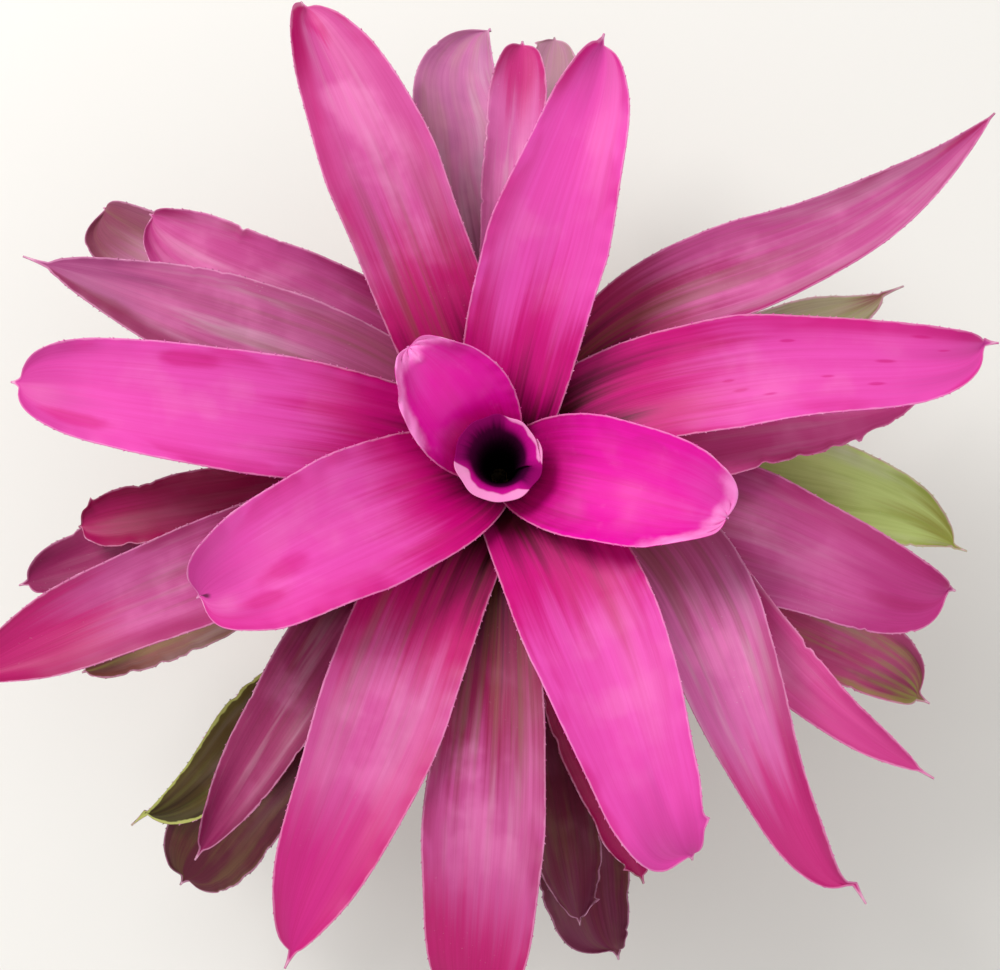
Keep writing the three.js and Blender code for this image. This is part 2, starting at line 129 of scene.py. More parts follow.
LEAVES = [
    USUAL | leaf
    for leaf in (
        dict(tone="vivid", az=185, reach=20.5, rolled=3.5, lift=16, droop=0, hook=30),
        dict(tone="vivid", az=131, reach=68, width=66, waist=1, narrow=0.1, end=3, cup=0.8, lift=4, hook=40,
             cusp=1.5, notch=3.5, lip=12, lip_side=1, lip_from=0.62),
        dict(tone="vivid", az=343, reach=114, width=69, sweep=-6, narrow=0.2, cup=0.7, hook=30, skew=0.25,
             cusp=1.5, lip=13, lip_side=-1, lip_from=0.76),
        dict(tone="pink", az=207.2, reach=162, width=76, narrow=0.25, end=8, cup=0.6, hook=35, aim=-4,
             notch=2, stripe=0.45, blots=((0.1, 0.8, 1.2), (0.4, 0.85, 1))),
        dict(tone="pink", az=75.5, reach=211, width=64, sweep=-8, belly=0.58, narrow=0.52, end=8, cup=0.6,
             hook=15, cusp=10, aim=4, fold=0.75, early=0.03),
        dict(tone="pink", az=294, reach=216, width=71, sweep=-13, belly=0.54, narrow=0.42, end=14, cup=0.55,
             hook=40, skew=-0.15, cusp=6, aim=8, horn=0.93),
        dict(tone="pink", az=172, reach=240, width=63, sweep=8, turn=-3, narrow=0.25, end=8, hook=10,
             cusp=7, early=0.03, blots=((-0.75, 0.7, 1), (0.6, 0.86, 1))),
        dict(tone="pink", az=11.3, reach=249, width=58, sweep=-27, turn=-4, belly=0.55, narrow=0.4, end=10,
             cup=0.6, hook=10, cusp=12, aim=11, early=-0.03, stripe=0.7,
             blots=((0.1, 0.8, 0.3), (-0.4, 0.78, 0.25), (-0.3, 0.55, 0.25), (-0.1, 0.53, 0.2),
                    (-0.45, 0.6, 0.25), (0.5, 0.4, 0.25), (0.5, 0.64, 0.2), (-0.2, 0.7, 0.2),
                    (0.7, 0.86, 0.35), (0.35, 0.9, 0.2))),
        dict(tone="blush", az=247, reach=267, width=66, sweep=14, turn=-8, belly=0.55, narrow=0.35, end=3.6,
             hook=10, cusp=13, aim=6, tinged=0.66, stripe=0.35),
        dict(tone="blush", az=113.4, reach=253.5, width=61, sweep=-2, turn=6, belly=0.65, narrow=0.34,
             end=3.4, cup=0.6, hook=15, cusp=8, fold=1, tinged=0.92, stripe=0.4),
        dict(tone="dusty", az=267.3, reach=270, width=61, waist=0.45, sweep=-3, belly=0.7, narrow=0.2,
             end=7, hook=20, cusp=8, tinged=0.72, early=-0.1),
        dict(tone="dusty", az=35, reach=303, width=54, waist=0.25, sweep=-44, turn=30, belly=0.55,
             narrow=0.78, end=4, cup=0.9, cusp=6, tinged=0.9, early=0.04),
        dict(tone="dusty", az=202.6, reach=285, width=55, sweep=4, belly=0.55, narrow=0.25, end=4, cup=0.7,
             cusp=8, tinged=0.7, stripe=0.6),
        dict(tone="lilac", az=308, reach=280, width=59, sweep=-53, turn=9, belly=0.5, narrow=0.72, end=14,
             cup=0.7, cusp=17, aim=13, tinged=0.66, early=0.05, stripe=0.5),
        dict(tone="mauve", az=156.2, reach=264, width=54, sweep=22, turn=-6, narrow=0.5, end=2, cusp=20,
             aim=2, tinged=0.7, early=0.08, stripe=0.7, blots=((0.6, 0.8, 1.6),)),
        dict(tone="cerise", az=8.5, reach=221, width=57, belly=0.45, narrow=0.7, end=4, cup=0.7, cusp=10,
             aim=8, horn=-0.82, frayed=2.5),
        dict(tone="plum", az=232.6, reach=248, width=46, sweep=20, belly=0.5, narrow=0.4, end=4, cup=0.7,
             cusp=9, stripe=0.7),
        dict(tone="lilac", az=87, reach=225, width=34, sweep=-4, belly=0.7, narrow=0.1, end=9, cup=0.8,
             tinged=0.78, early=0.08),
        dict(tone="cerise", az=324, reach=267, width=40, sweep=-35, turn=22, belly=0.5, narrow=0.5, end=3,
             cup=0.8, lift=1, cusp=13, tinged=0.7, early=0.16),
        dict(tone="crimson", az=188, reach=216, width=36, sweep=4, narrow=0.1, end=12, cup=0.7, lift=2,
             cusp=3, horn=-0.95, frayed=2),
        dict(tone="rose", az=343.8, reach=240, width=72, sweep=-3, belly=0.5, narrow=0.47, end=12, cusp=6,
             aim=12, tinged=0.7, stripe=0.5, blots=((-0.2, 0.9, 1.5),)),
        dict(tone="rose", az=144.5, reach=228, width=60, sweep=26, turn=-4, belly=0.5, narrow=0.2, end=6,
             cup=0.9, aim=-10, tinged=0.9),
        dict(tone="crimson", az=289, reach=221, width=42, cup=0.8, lift=3, cusp=6, horn=-0.95, frayed=2),
        dict(tone="peach", az=93, reach=241, width=60, sweep=10, turn=-16, belly=0.7, narrow=0.42, end=3.5,
             cusp=3, aim=-16, tinged=0.9),
        dict(tone="plum", az=193, reach=255, width=50, cup=0.6, cusp=8, frayed=2),
        dict(tone="wine", az=280, reach=234, width=44, cup=0.45, cusp=6, horn=0.94, frayed=1.5),
        dict(tone="green", az=352, reach=247, width=68, sweep=-16, turn=-4, belly=0.5, narrow=0.5, end=3,
             cusp=12, aim=-10, early=0.15),
        dict(tone="grey", az=83, reach=242, width=40, end=9, cusp=3, horn=0.965),
        dict(tone="russet", az=205, reach=240, width=42, end=4, cup=0.6, frayed=2.2),
        dict(tone="mottled", az=333, reach=253, width=46, narrow=0.2, end=8, cusp=12, aim=-6, early=0.2),
        dict(tone="faded", az=146, reach=261, width=44, narrow=0.1, end=16, cusp=3, aim=-10, tinged=0.75),
        dict(tone="olive", az=224.3, reach=264, width=44, sweep=-16, narrow=0.4, end=3, cup=0.4, cusp=16,
             aim=-12),
        dict(tone="sage", az=25.8, reach=243, width=50, belly=0.5, narrow=0.6, end=3, cup=0.6, cusp=22,
             aim=5),
        dict(tone="wine", az=283, reach=257, width=54, narrow=0.25, end=10, cusp=9, aim=9, frayed=1.5),
        dict(tone="umber", az=231.5, reach=270, width=60, narrow=0.15, end=10, cup=0.4, cusp=8, frayed=1.5),
    )
]  # fmt: skip
LAST = len(LEAVES) - 1

# How many steps a midline has, and how many rounds it takes to find its length.
SPINE_STEPS = 120
SPINE_ROUNDS = 12

# Detail that the blades have beyond their main form: shallow pleats along them, slow swells, a fine ripple of
# their edges, and ends that close like a boat's bow.
RELIEF = dict(
    start=0.25, full=0.45, end=0.95, pleat=0.16, pleats=9, pleat_sway=1.4, pleat_bends=5, swell=0.55,
    swells=3.2, swell_slant=2.1, swell_cross=1.7, ripple=0.3, ripples=17, ripple_from=0.55, ripple_sway=3,
    ripple_bends=9,
)  # fmt: skip
BOW = dict(start=0.84, cup=0.55)

# How the edges wander, in long and short bends, how they tear, and the nicks that leaves have from
# nicked_from on.
EDGE = dict(
    wander=0.6, bends=1.7, short_bends=4.3, short=0.6, young=0.5, tears=9.1, tear_sway=3, tear_bends=11,
    nicks=4, nicked_from=14, nick=1.1, nick_least=0.5, nick_width=0.005, nick_start=0.6, nick_end=0.95,
)  # fmt: skip
FOLD = dict(height=7, start=0.78, end=0.92, gone_from=0.97)
HORN = dict(length=5, width=0.006, dent=0.35, spread=0.03, power=8)
NOTCH = dict(width=0.12, start=0.9, end=0.97)

# The rolled heart leaf's lip. It flares and drops most at the bearing side, and is lumpy. flap: the bearing
# of its inner flap, whose rim is pale too.
LIP = dict(
    start=0.86, flare=2.6, drop=0.6, side=math.radians(250), flap=math.radians(35), lumps=0.5, lump_count=9,
    lump_cross=5.3,
)  # fmt: skip

# An open leaf's lip curls up and is crimped. It begins over a share onset of the length, fades out on the
# leaf's other side between side_start and side_end, and goes round its end with a share of its height.
CURL = dict(
    height=2.4, crimp=0.6, crimps_across=17, crimps_along=60, onset=0.15, side_start=-0.6, side_end=-0.1,
    end_share=0.8, end_start=0.88, end_full=0.96,
)  # fmt: skip

# How a leaf's grid crowds towards its edges and its tip, and how far apart places on it are for a normal.
CROWD = dict(edges=0.35, tip=1.25)
NEAR = dict(along=0.004, across=0.03)

# The teeth along a blade: where they stand, and how far they lean, vary and stand out. foot and tip: their
# radii as shares of their length.
TEETH = dict(
    start=0.3, span=0.65, jitter=0.4, inward=0.97, lean=(0.6, 1.3), size=(0.6, 1.25), out=0.4, foot=0.36,
    tip=0.04,
)  # fmt: skip

# ---------------------------------------------------------------- colours


def paint(code):
    """A colour for a shader, from the six hex digits of its screen colour."""
    channels = [int(code[i : i + 2], 16) / 255 for i in (0, 2, 4)]
    return tuple(c / 12.92 if c <= 0.04045 else ((c + 0.055) / 1.055) ** 2.4 for c in channels)


# Each tone's colours from the leaf's foot to its tip, its dark foot partly painted shade near the stem, and
# how strongly olive streaks, pale clouds, grey haze and green patches show on it. stripe: the colour of its
# stripe, partly painted shade, and of its blots, if that isn't deep. margin: the colour of a broad margin.
TONES = {
    "vivid": dict(foot="4a0226", deep="b80876", body="dd039c", tip="d4309d", streaks=0, clouds=0.12, haze=0),
    "pink": dict(foot="4c0320", deep="c60476", body="de46a8", tip="cc3d97", streaks=0.1, clouds=0.2, haze=0),
    "blush": dict(foot="36030e", deep="bc0868", body="c94d93", tip="c02078", streaks=0.5, clouds=0.35,
                  haze=0.1),
    # cerise is brighter than rose, as painted light for leaves that lie in the shade of others.
    "cerise": dict(foot="6c0a3c", deep="bc286e", body="d64c94", tip="c83c86", streaks=0.1, clouds=0.3,
                   haze=0.1),
    "dusty": dict(foot="54062a", deep="960e4f", body="be4a8b", tip="b01864", streaks=0.55, clouds=0.35,
                  haze=0.15),
    "rose": dict(foot="5a0a34", deep="a01c5e", body="c34c8f", tip="b03078", streaks=0.3, clouds=0.3,
                 haze=0.12),
    "lilac": dict(foot="54062a", deep="b04a7c", body="d264a6", tip="c02c78", streaks=0.5, clouds=0.35,
                  haze=0.3, stripe="a82064"),
    "mauve": dict(foot="54142e", deep="a84874", body="b9548b", tip="9c4074", streaks=0.5, clouds=0.35,
                  haze=0.3, stripe="7c1840"),
    "peach": dict(foot="54142e", deep="90446c", body="c26ca0", tip="b8689a", streaks=0.3, clouds=0.3,
                  haze=0.25, patches=0.18),
    "plum": dict(foot="3c0a22", deep="7c1c48", body="9c3164", tip="84144e", streaks=0.5, clouds=0.25,
                 haze=0.2),
    "crimson": dict(foot="4c0828", deep="8a0c46", body="98044a", tip="a01256", streaks=0.05, clouds=0.06,
                    haze=0.03),
    "wine": dict(foot="240414", deep="44061e", body="64082e", tip="6c1c40", streaks=0.05, clouds=0.06,
                 haze=0.04, patches=0.1),
    "russet": dict(foot="3c1a18", deep="7a4038", body="885248", tip="54241f", streaks=0.5, clouds=0.1,
                   haze=0.12, patches=0.2),
    "mottled": dict(foot="6a2040", deep="c04c84", body="bc4078", tip="84304c", streaks=0.5, clouds=0.2,
                    haze=0.15, patches=0.6),
    "umber": dict(foot="240414", deep="541c28", body="581828", tip="581a2c", streaks=0.3, clouds=0.05,
                  haze=0.03, patches=0.12),
    "faded": dict(foot="54142e", deep="985072", body="b4668e", tip="843c54", streaks=0.3, clouds=0.2,
                  haze=0.3, patches=0.12),
    "green": dict(foot="6e6844", deep="b0ac90", body="bccc78", tip="949440", streaks=0.1, clouds=0.05,
                  haze=0.2, patches=0.55),
    "sage": dict(foot="5c5438", deep="908668", body="a4987a", tip="7c1c40", streaks=0.3, clouds=0.1,
                 haze=0.2, patches=0.3),
    "olive": dict(foot="4c3c1c", deep="64482a", body="54401a", tip="301c04", streaks=0.15, clouds=0.05,
                  haze=0.05, patches=0.12, margin="c8cc70"),
    "grey": dict(foot="5c4c4a", deep="947a70", body="b07c90", tip="b47c94", streaks=0.2, clouds=0.05,
                 haze=0.2, patches=0.15),
}  # fmt: skip


class Finish:
    """A material in the making, with one short call for each kind of node that it needs."""

    def __init__(self, name, **constants):
        self.material = bpy.data.materials.new(name)
        self.material.use_nodes = True
        self.tree = self.material.node_tree
        self.shader = self.tree.nodes["Principled BSDF"]
        for socket, value in constants.items():
            self.shader.inputs[socket.replace("_", " ")].default_value = value

    def node(self, kind, inputs, **settings):
        node = self.tree.nodes.new(kind)
        for name, value in settings.items():
            setattr(node, name, value)
        for socket, value in inputs.items():
            self.feed(node.inputs[socket], value)
        return node

    def feed(self, socket, value):
        if isinstance(value, bpy.types.NodeSocket):
            self.tree.links.new(value, socket)
        elif socket.type == "RGBA":
            socket.default_value = (*value, 1)
        else:
            socket.default_value = value

    def place(self):
        return self.node("ShaderNodeTexCoord", {}).outputs["Object"]

    def attribute(self, name):
        return self.node("ShaderNodeAttribute", {}, attribute_name=name).outputs["Vector"]

    def split(self, vector):
        return self.node("ShaderNodeSeparateXYZ", {0: vector}).outputs[:]

    def join(self, x, y, z=0.0):
        return self.node("ShaderNodeCombineXYZ", {0: x, 1: y, 2: z}).outputs[0]

    def math(self, operation, a, b=0.0, c=0.0):
        return self.node("ShaderNodeMath", {0: a, 1: b, 2: c}, operation=operation).outputs[0]

    def add(self, a, b):
        return self.math("ADD", a, b)

    def times(self, a, b):
        return self.math("MULTIPLY", a, b)

    def wobble(self, value, size):
        """Up and down by half of size, from a value between 0 and 1."""
        return self.times(self.add(value, -0.5), size)

    def band(self, value, low, high):
        """0 where value is low, 1 where it is high, and smooth between."""
        inputs = {"Value": value, "From Min": low, "From Max": high}
        if low > high:
            inputs = {"Value": value, "From Min": high, "From Max": low, "To Min": 1.0, "To Max": 0.0}
        return self.node("ShaderNodeMapRange", inputs, interpolation_type="SMOOTHSTEP").outputs[0]

    def noise(self, vector, scale=1.0, detail=2.0, roughness=0.5):
        inputs = {"Vector": vector, "Scale": scale, "Detail": detail, "Roughness": roughness}
        return self.node("ShaderNodeTexNoise", inputs).outputs[0]

    def grain(self, across, along, lines, runs, salt, detail=3):
        """Noise drawn out along a leaf, as fine across it as lines and along it as runs."""
        return self.noise(self.join(self.times(across, lines), self.times(along, runs), salt), detail=detail)

    def mix(self, share, a, b, blend="MIX"):
        inputs = {0: share, 6: a, 7: b}
        return self.node("ShaderNodeMix", inputs, data_type="RGBA", blend_type=blend).outputs[2]

    def ramp(self, value, stops):
        """Colours that ease into each other, from pairs of a position and six hex digits."""
        node = self.node("ShaderNodeValToRGB", {0: value})
        node.color_ramp.interpolation = "EASE"
        elements = node.color_ramp.elements
        while len(elements) < len(stops):
            elements.new(0.5)
        for element, (position, code) in zip(elements, stops):
            element.position = position
            element.color = (*paint(code), 1)
        return node.outputs[0]

    def bump(self, height, distance, strength=1.0):
        inputs = {"Height": height, "Distance": distance, "Strength": strength}
        self.feed(self.shader.inputs["Normal"], self.node("ShaderNodeBump", inputs).outputs[0])

    def wear(self, colour, roughness):
        """Gives the shader its colour and roughness, and returns the finished material."""
        self.feed(self.shader.inputs["Base Color"], colour)
        self.feed(self.shader.inputs["Roughness"], roughness)
        return self.material


# ---------------------------------------------------------------- leaf finishes


def face_finish(rank, leaf, colours):
    """The upper face of a leaf: dark at its foot, partly as painted shade, streaked and veined along it, with
    a pale margin.
    """
    tone = TONES[leaf["tone"]]
    f = Finish(f"leaf_{rank + 1:02d}_face", Specular_IOR_Level=0.2, Coat_Weight=0.04, Coat_Roughness=0.3)
    across, along, edge = f.split(f.attribute("blade"))
    lip = f.node("ShaderNodeAttribute", {}, attribute_name="lip").outputs["Fac"]
    spot = f.place()

    def grain(lines, runs, salt, detail=2):
        return f.grain(across, along, lines, runs, rank * 3.7 + salt, detail)

    broad = grain(2.2, 1.8, 0)
    veins = grain(15, 2.2, 11, 3)
    fine = grain(60, 6, 23)
    cloud = f.noise(spot, 34, 3)
    off_centre = f.math("ABSOLUTE", across)
    # The colours along the blade, shifted here and there so that they run into each other in streaks.
    shift = f.add(f.wobble(broad, 0.34), f.wobble(veins, 0.14))
    tinged, early = leaf["tinged"], leaf["early"]
    # The foot's dark colour is partly the leaf's own and partly painted shade near the stem, deep in the
    # rosette.
    stops = [(0.19 - early, tone["foot"]), (0.39 - early, tone["deep"]), (0.58 - early, tone["body"]),
             (tinged, tone["body"]), (min(0.97, tinged + 0.17), tone["tip"])]  # fmt: skip
    colour = f.ramp(f.add(along, shift), stops)
    # Paler clouds over the middle, and deeper colour here and there towards the edges, partly the leaf's own
    # and partly painted shade where the channel's sides turn from the light.
    middle = f.times(f.band(along, 0.35, 0.6), f.band(along, tinged + 0.15, tinged - 0.1))
    pale = f.times(f.times(f.band(cloud, 0.42, 0.66), f.band(off_centre, 0.95, 0.4)), tone["clouds"])
    colour = f.mix(f.times(pale, middle), colour, paint("f08cc4"))
    deep_edges_and_shade = f.times(f.band(off_centre, 0.5, 1.0), f.band(grain(1.6, 5, 83), 0.5, 0.62))
    colour = f.mix(f.times(deep_edges_and_shade, 0.55), colour, paint(tone["deep"]))
    # Olive streaks over the inner half, where the leaf keeps some green.
    streaks = f.times(f.band(grain(5, 1.5, 37, 3), 0.46, 0.66), f.band(along, 0.8, 0.45))
    streaks = f.times(f.times(streaks, f.band(off_centre, 1.0, 0.5)), 0.75 * tone["streaks"])
    colour = f.mix(streaks, colour, colours.olive)
    # Patches that are still green, more of them towards the end, and a grey haze in long soft clouds.
    patches = f.add(f.times(grain(4, 3.5, 67, 4), 0.7), f.times(cloud, 0.3))
    patches = f.times(f.band(patches, 0.44, 0.66), tone.get("patches", 0.0))
    colour = f.mix(f.times(patches, f.band(along, 0.4, 0.75)), colour, colours.green)
    haze = f.times(f.times(f.band(grain(3, 3, 51, 3), 0.48, 0.68), middle), tone["haze"])
    colour = f.mix(haze, colour, colours.scurf)
    specks = f.times(f.band(f.noise(spot, 800, 1), 0.72, 0.78), f.band(f.noise(spot, 40, 1), 0.5, 0.7))
    colour = f.mix(f.times(specks, 0.7 * tone["haze"]), colour, colours.scurf)
    # Single blots of deeper colour.
    for blot_across, blot_along, size in leaf["blots"]:
        away = f.join(f.times(f.add(across, -blot_across), 5), f.times(f.add(along, -blot_along), 12))
        far = f.node("ShaderNodeVectorMath", {0: away}, operation="LENGTH").outputs["Value"]
        blot = f.band(f.add(far, f.wobble(cloud, 1.2 * size)), 0.9 * size, 0.3 * size)
        colour = f.mix(f.times(blot, 0.6), colour, paint(tone.get("stripe", tone["deep"])))
    # The veins, and the grain between them.
    relief = f.add(f.times(veins, 0.6), f.times(fine, 0.4))
    shade = f.add(f.wobble(relief, 0.9), 0.5)
    colour = f.mix(0.2, colour, f.ramp(shade, [(0.2, "000000"), (0.8, "ffffff")]), "SOFT_LIGHT")
    # Painted shade on the upturned left edge near the end, in the tone's deep colour.
    if leaf["fold"]:
        painted_fold_shade = f.times(f.band(f.times(across, leaf["fold"]), 0.4, 0.7), f.band(along, 0.8, 0.9))
        colour = f.mix(f.times(painted_fold_shade, 0.8), colour, paint(tone["deep"]))
    # A deeper band along the left edge, partly the leaf's own colour and partly painted shade where that edge
    # folds.
    if leaf["stripe"]:
        uneven = f.add(across, f.wobble(broad, 0.6))
        stripe = f.times(f.band(uneven, 0.4, 0.85), f.band(along, 0.45, 0.65))
        colour = f.mix(f.times(stripe, leaf["stripe"]), colour, paint(tone.get("stripe", tone["deep"])))
    if leaf["notch"]:
        dry = f.times(f.band(off_centre, 0.14, 0.05), f.band(along, 0.965, 0.98))
        colour = f.mix(f.times(dry, 0.85), colour, paint("3c0a24"))
    # The last few millimetres of its point are horny and pale.
    point = leaf["cusp"] / (leaf["reach"] + BLADE["spare"])
    horny = f.band(along, 1 - 0.5 * point, 1 - 0.2 * point)
    colour = f.mix(f.times(horny, 0.7), colour, colours.point)
    # The thin pale margin, uneven along its length, wider at a curled lip, and the horny point.
    uneven = f.noise(f.join(f.times(along, 40), across, rank), detail=2)
    broad_margin, strength = (2.8, 0.8) if "margin" in tone else (1.7, 0.4)
    margin = f.band(f.math("SUBTRACT", edge, f.times(uneven, broad_margin)), 0.2, -0.5)
    margin_colour = paint(tone["margin"]) if "margin" in tone else colours.margin
    colour = f.mix(f.times(margin, strength), colour, margin_colour)
    if leaf["lip"]:
        ragged = f.add(lip, f.wobble(f.noise(spot, 130, 3), 0.7))
        colour = f.mix(f.times(f.band(ragged, 0.08, 0.75), 0.92), colour, colours.lip)
    f.bump(relief, 0.0003, 0.45)
    return f.wear(colour, f.add(f.times(cloud, 0.22), 0.34))


def back_finish(rank, leaf, colours):
    """The underside: duller and greener, with bands of silver scurf across it."""
    tone = TONES[leaf["tone"]]
    f = Finish(f"leaf_{rank + 1:02d}_back", Specular_IOR_Level=0.3)
    across, along, _ = f.split(f.attribute("blade"))
    lengthwise = f.grain(across, along, 22, 3, rank * 2.3)
    bands = f.grain(across, along, 1.2, 34, rank * 5.1)
    stops = [(0.1, "56603a"), (0.35, tone["deep"]), (0.8, tone["body"]), (0.98, tone["tip"])]
    colour = f.ramp(f.add(along, f.wobble(lengthwise, 0.3)), stops)
    colour = f.mix(0.45, colour, colours.underside)
    scurf = f.times(f.band(bands, 0.42, 0.7), f.band(lengthwise, 0.25, 0.6))
    colour = f.mix(f.times(scurf, 0.45), colour, colours.scurf)
    f.bump(lengthwise, 0.0004, 0.5)
    return f.wear(colour, f.add(f.times(scurf, 0.25), 0.5))


def edge_finish(rank, leaf, colours):
    """The cut edge of a blade and the small teeth on it: pale, and here and there as dark as the blade."""
    f = Finish(f"leaf_{rank + 1:02d}_edge", Specular_IOR_Level=0.4)
    _, along, _ = f.split(f.attribute("blade"))
    mottle = f.noise(f.place(), 300, 3)
    body = paint(TONES[leaf["tone"]]["body"])
    colour = f.mix(f.band(mottle, 0.35, 0.65), colours.margin, body)
    bare = f.times(f.band(f.noise(f.place(), 70, 2), 0.42, 0.56), 0.8)
    colour = f.mix(bare, colour, body)
    colour = f.mix(f.band(along, 0.3, 0.05), colour, paint("8a6a48"))
    f.bump(mottle, 0.0001, 0.4)
    return f.wear(colour, f.add(f.times(mottle, 0.2), 0.35))


def heart_finish(colours):
    """The rolled heart leaf: painted shade inside its tube, painted light on its lit inner walls, and a pale
    lip where its end flares.
    """
    f = Finish("heart_leaf_face", Specular_IOR_Level=0.01)
    across, along, _ = f.split(f.attribute("blade"))
    veins = f.grain(across, along, 42, 2.5, 3)
    lumps = f.grain(across, along, 5, 2, 9, 2)
    # Painted shade: the tube's inner wall is near black deep down and lightens towards its mouth.
    stops = [(0.4, "12030f"), (0.6, "2c0424"), (0.85, "4c0638"), (0.99, "86085c")]
    depth = f.add(along, f.wobble(veins, 0.16))
    colour = f.ramp(depth, stops)
    # The lip is pale, partly its margin and partly painted light on the lit top of its curl, and broad where
    # it flares, on one side, and thin on the inner flap.
    x, y, _ = f.split(f.place())
    flat = f.node("ShaderNodeVectorMath", {0: f.join(x, y)}, operation="NORMALIZE").outputs[0]
    low = f.band(facing(f, flat, LIP["side"]), 0.35, 0.7)
    flap = f.band(facing(f, flat, LIP["flap"]), 0.55, 0.85)
    # Brighter magenta, painted light on the inner walls that face the light at the flared side and the flap,
    # stands behind the pale rim, which is ragged.
    painted_lit_wall = f.times(f.add(low, flap), f.band(along, 0.8, 0.92))
    colour = f.mix(f.times(painted_lit_wall, 0.8), colour, paint("cc1090"))
    wide = f.add(f.times(low, 0.1), f.times(flap, 0.055))
    start = f.math("SUBTRACT", 1.03, f.add(wide, f.wobble(lumps, 0.1)))
    rim = f.band(f.math("SUBTRACT", along, start), -0.006, 0.012)
    colour = f.mix(f.times(rim, 0.85), colour, f.mix(lumps, colours.lip, colours.margin))
    f.bump(veins, 0.0003, 0.5)
    return f.wear(colour, f.add(f.times(lumps, 0.2), 0.3))


def facing(f, direction, bearing):
    """How far a level direction leans towards a bearing, from -1 to 1."""
    inputs = {0: direction, 1: (math.cos(bearing), math.sin(bearing), 0)}
    return f.node("ShaderNodeVectorMath", inputs, operation="DOT_PRODUCT").outputs["Value"]


def heart_back_finish():
    """The outside of the heart leaf's tube."""
    tone = TONES["vivid"]
    f = Finish("heart_leaf_back", Specular_IOR_Level=0.35)
    across, along, _ = f.split(f.attribute("blade"))
    veins = f.grain(across, along, 42, 2.5, 7)
    stops = [(0.5, tone["foot"]), (0.8, tone["deep"]), (0.95, tone["body"])]
    colour = f.ramp(f.add(along, f.wobble(veins, 0.2)), stops)
    f.bump(veins, 0.0003, 0.5)
    return f.wear(colour, f.add(f.times(veins, 0.2), 0.35))


# ---------------------------------------------------------------- other finishes


def clay_finish(colours):
    """Unglazed clay: gritty, ringed by the wheel, with pale mineral bloom near its rim and foot."""
    f = Finish("clay", Specular_IOR_Level=0.25)
    spot = f.place()
    z = f.split(spot)[2]
    rings = f.noise(f.join(0.0, 0.0, f.times(z, 420)), detail=3)
    grit = f.noise(spot, 900, 4, 0.7)
    patches = f.noise(spot, 26, 4, 0.6)
    colour = f.mix(f.band(patches, 0.35, 0.65), colours.clay, colours.clay_dark)
    colour = f.mix(f.times(f.band(rings, 0.4, 0.7), 0.25), colour, colours.clay_dark)
    height = f.add(z, f.wobble(patches, 0.05))
    bloom = f.math("MAXIMUM", f.band(height, 0.022, 0.002), f.times(f.band(height, 0.07, 0.1), 0.8))
    bloom = f.times(bloom, f.band(f.noise(spot, 90, 5, 0.7), 0.42, 0.66))
    colour = f.mix(f.times(bloom, 0.7), colour, colours.bloom)
    specks = f.band(f.noise(spot, 1500, 1), 0.68, 0.75)
    colour = f.mix(f.times(specks, 0.5), colour, paint("5a2c1c"))
    f.bump(f.add(f.times(grit, 0.4), f.times(rings, 0.8)), 0.0004, 0.6)
    return f.wear(colour, f.add(f.times(patches, 0.15), 0.78))


def mix_finish(colours):
    """The fine, dark part of the potting mix."""
    f = Finish("mix_fines", Specular_IOR_Level=0.2)
    spot = f.place()
    crumbs = f.noise(spot, 420, 6, 0.7)
    colour = f.mix(f.band(crumbs, 0.35, 0.65), colours.mix_dark, colours.mix_light)
    f.bump(crumbs, 0.0015, 0.9)
    return f.wear(colour, f.add(f.times(crumbs, 0.1), 0.85))


def bark_finish(colours):
    """Bark chips: reddish brown, layered, darker in their cracks."""
    f = Finish("bark_chip", Specular_IOR_Level=0.25)
    spot = f.place()
    x, y, z = f.split(spot)
    layers = f.noise(f.join(x, y, f.times(z, 5)), 190, 5, 0.65)
    patches = f.noise(spot, 60, 2)
    colour = f.mix(f.band(patches, 0.4, 0.6), colours.bark, colours.mix_light)
    colour = f.mix(f.band(layers, 0.55, 0.35), colour, colours.mix_dark)
    f.bump(layers, 0.0008, 0.8)
    return f.wear(colour, f.add(f.times(layers, 0.2), 0.7))


def perlite_finish():
    """Perlite: off-white, full of tiny holes."""
    f = Finish("perlite", Specular_IOR_Level=0.3)
    pores = f.noise(f.place(), 1300, 3)
    colour = f.mix(f.band(pores, 0.55, 0.35), paint("dcd8cc"), paint("a49c8c"))
    f.bump(pores, 0.0005, 0.8)
    return f.wear(colour, f.add(f.times(pores, 0.2), 0.6))


def stem_finish(colours):
    """The stem: fibrous, with the rings that leaves leave on it."""
    f = Finish("stem_fibre", Specular_IOR_Level=0.25)
    spot = f.place()
    x, y, z = f.split(spot)
    fibres = f.noise(f.join(f.times(x, 8), f.times(y, 8), z), 90, 5, 0.6)
    rings = f.noise(f.join(0.0, 0.0, f.times(z, 260)), detail=2)
    colour = f.mix(f.band(fibres, 0.35, 0.65), colours.stem, colours.olive)
    colour = f.mix(f.times(f.band(rings, 0.45, 0.7), 0.6), colour, colours.mix_light)
    f.bump(f.add(fibres, rings), 0.001, 0.6)
    return f.wear(colour, f.add(f.times(fibres, 0.2), 0.6))


def floor_finish(colours):
    """A plain pale floor with the faintest unevenness."""
    f = Finish("studio_floor", Specular_IOR_Level=0.2)
    cloud = f.noise(f.place(), 3, 3)
    colour = f.mix(f.times(cloud, 0.12), colours.floor, paint("d8d4cc"))
    return f.wear(colour, f.add(f.times(cloud, 0.1), 0.7))


# ---------------------------------------------------------------- the shape of a leaf


def ease(start, end, x):
    """0 at start, 1 at end, and smooth between."""
    share = np.clip((x - start) / (end - start), 0, 1)
    return share * share * (3 - 2 * share)


def lerp(a, b, share):
    return a + (b - a) * share


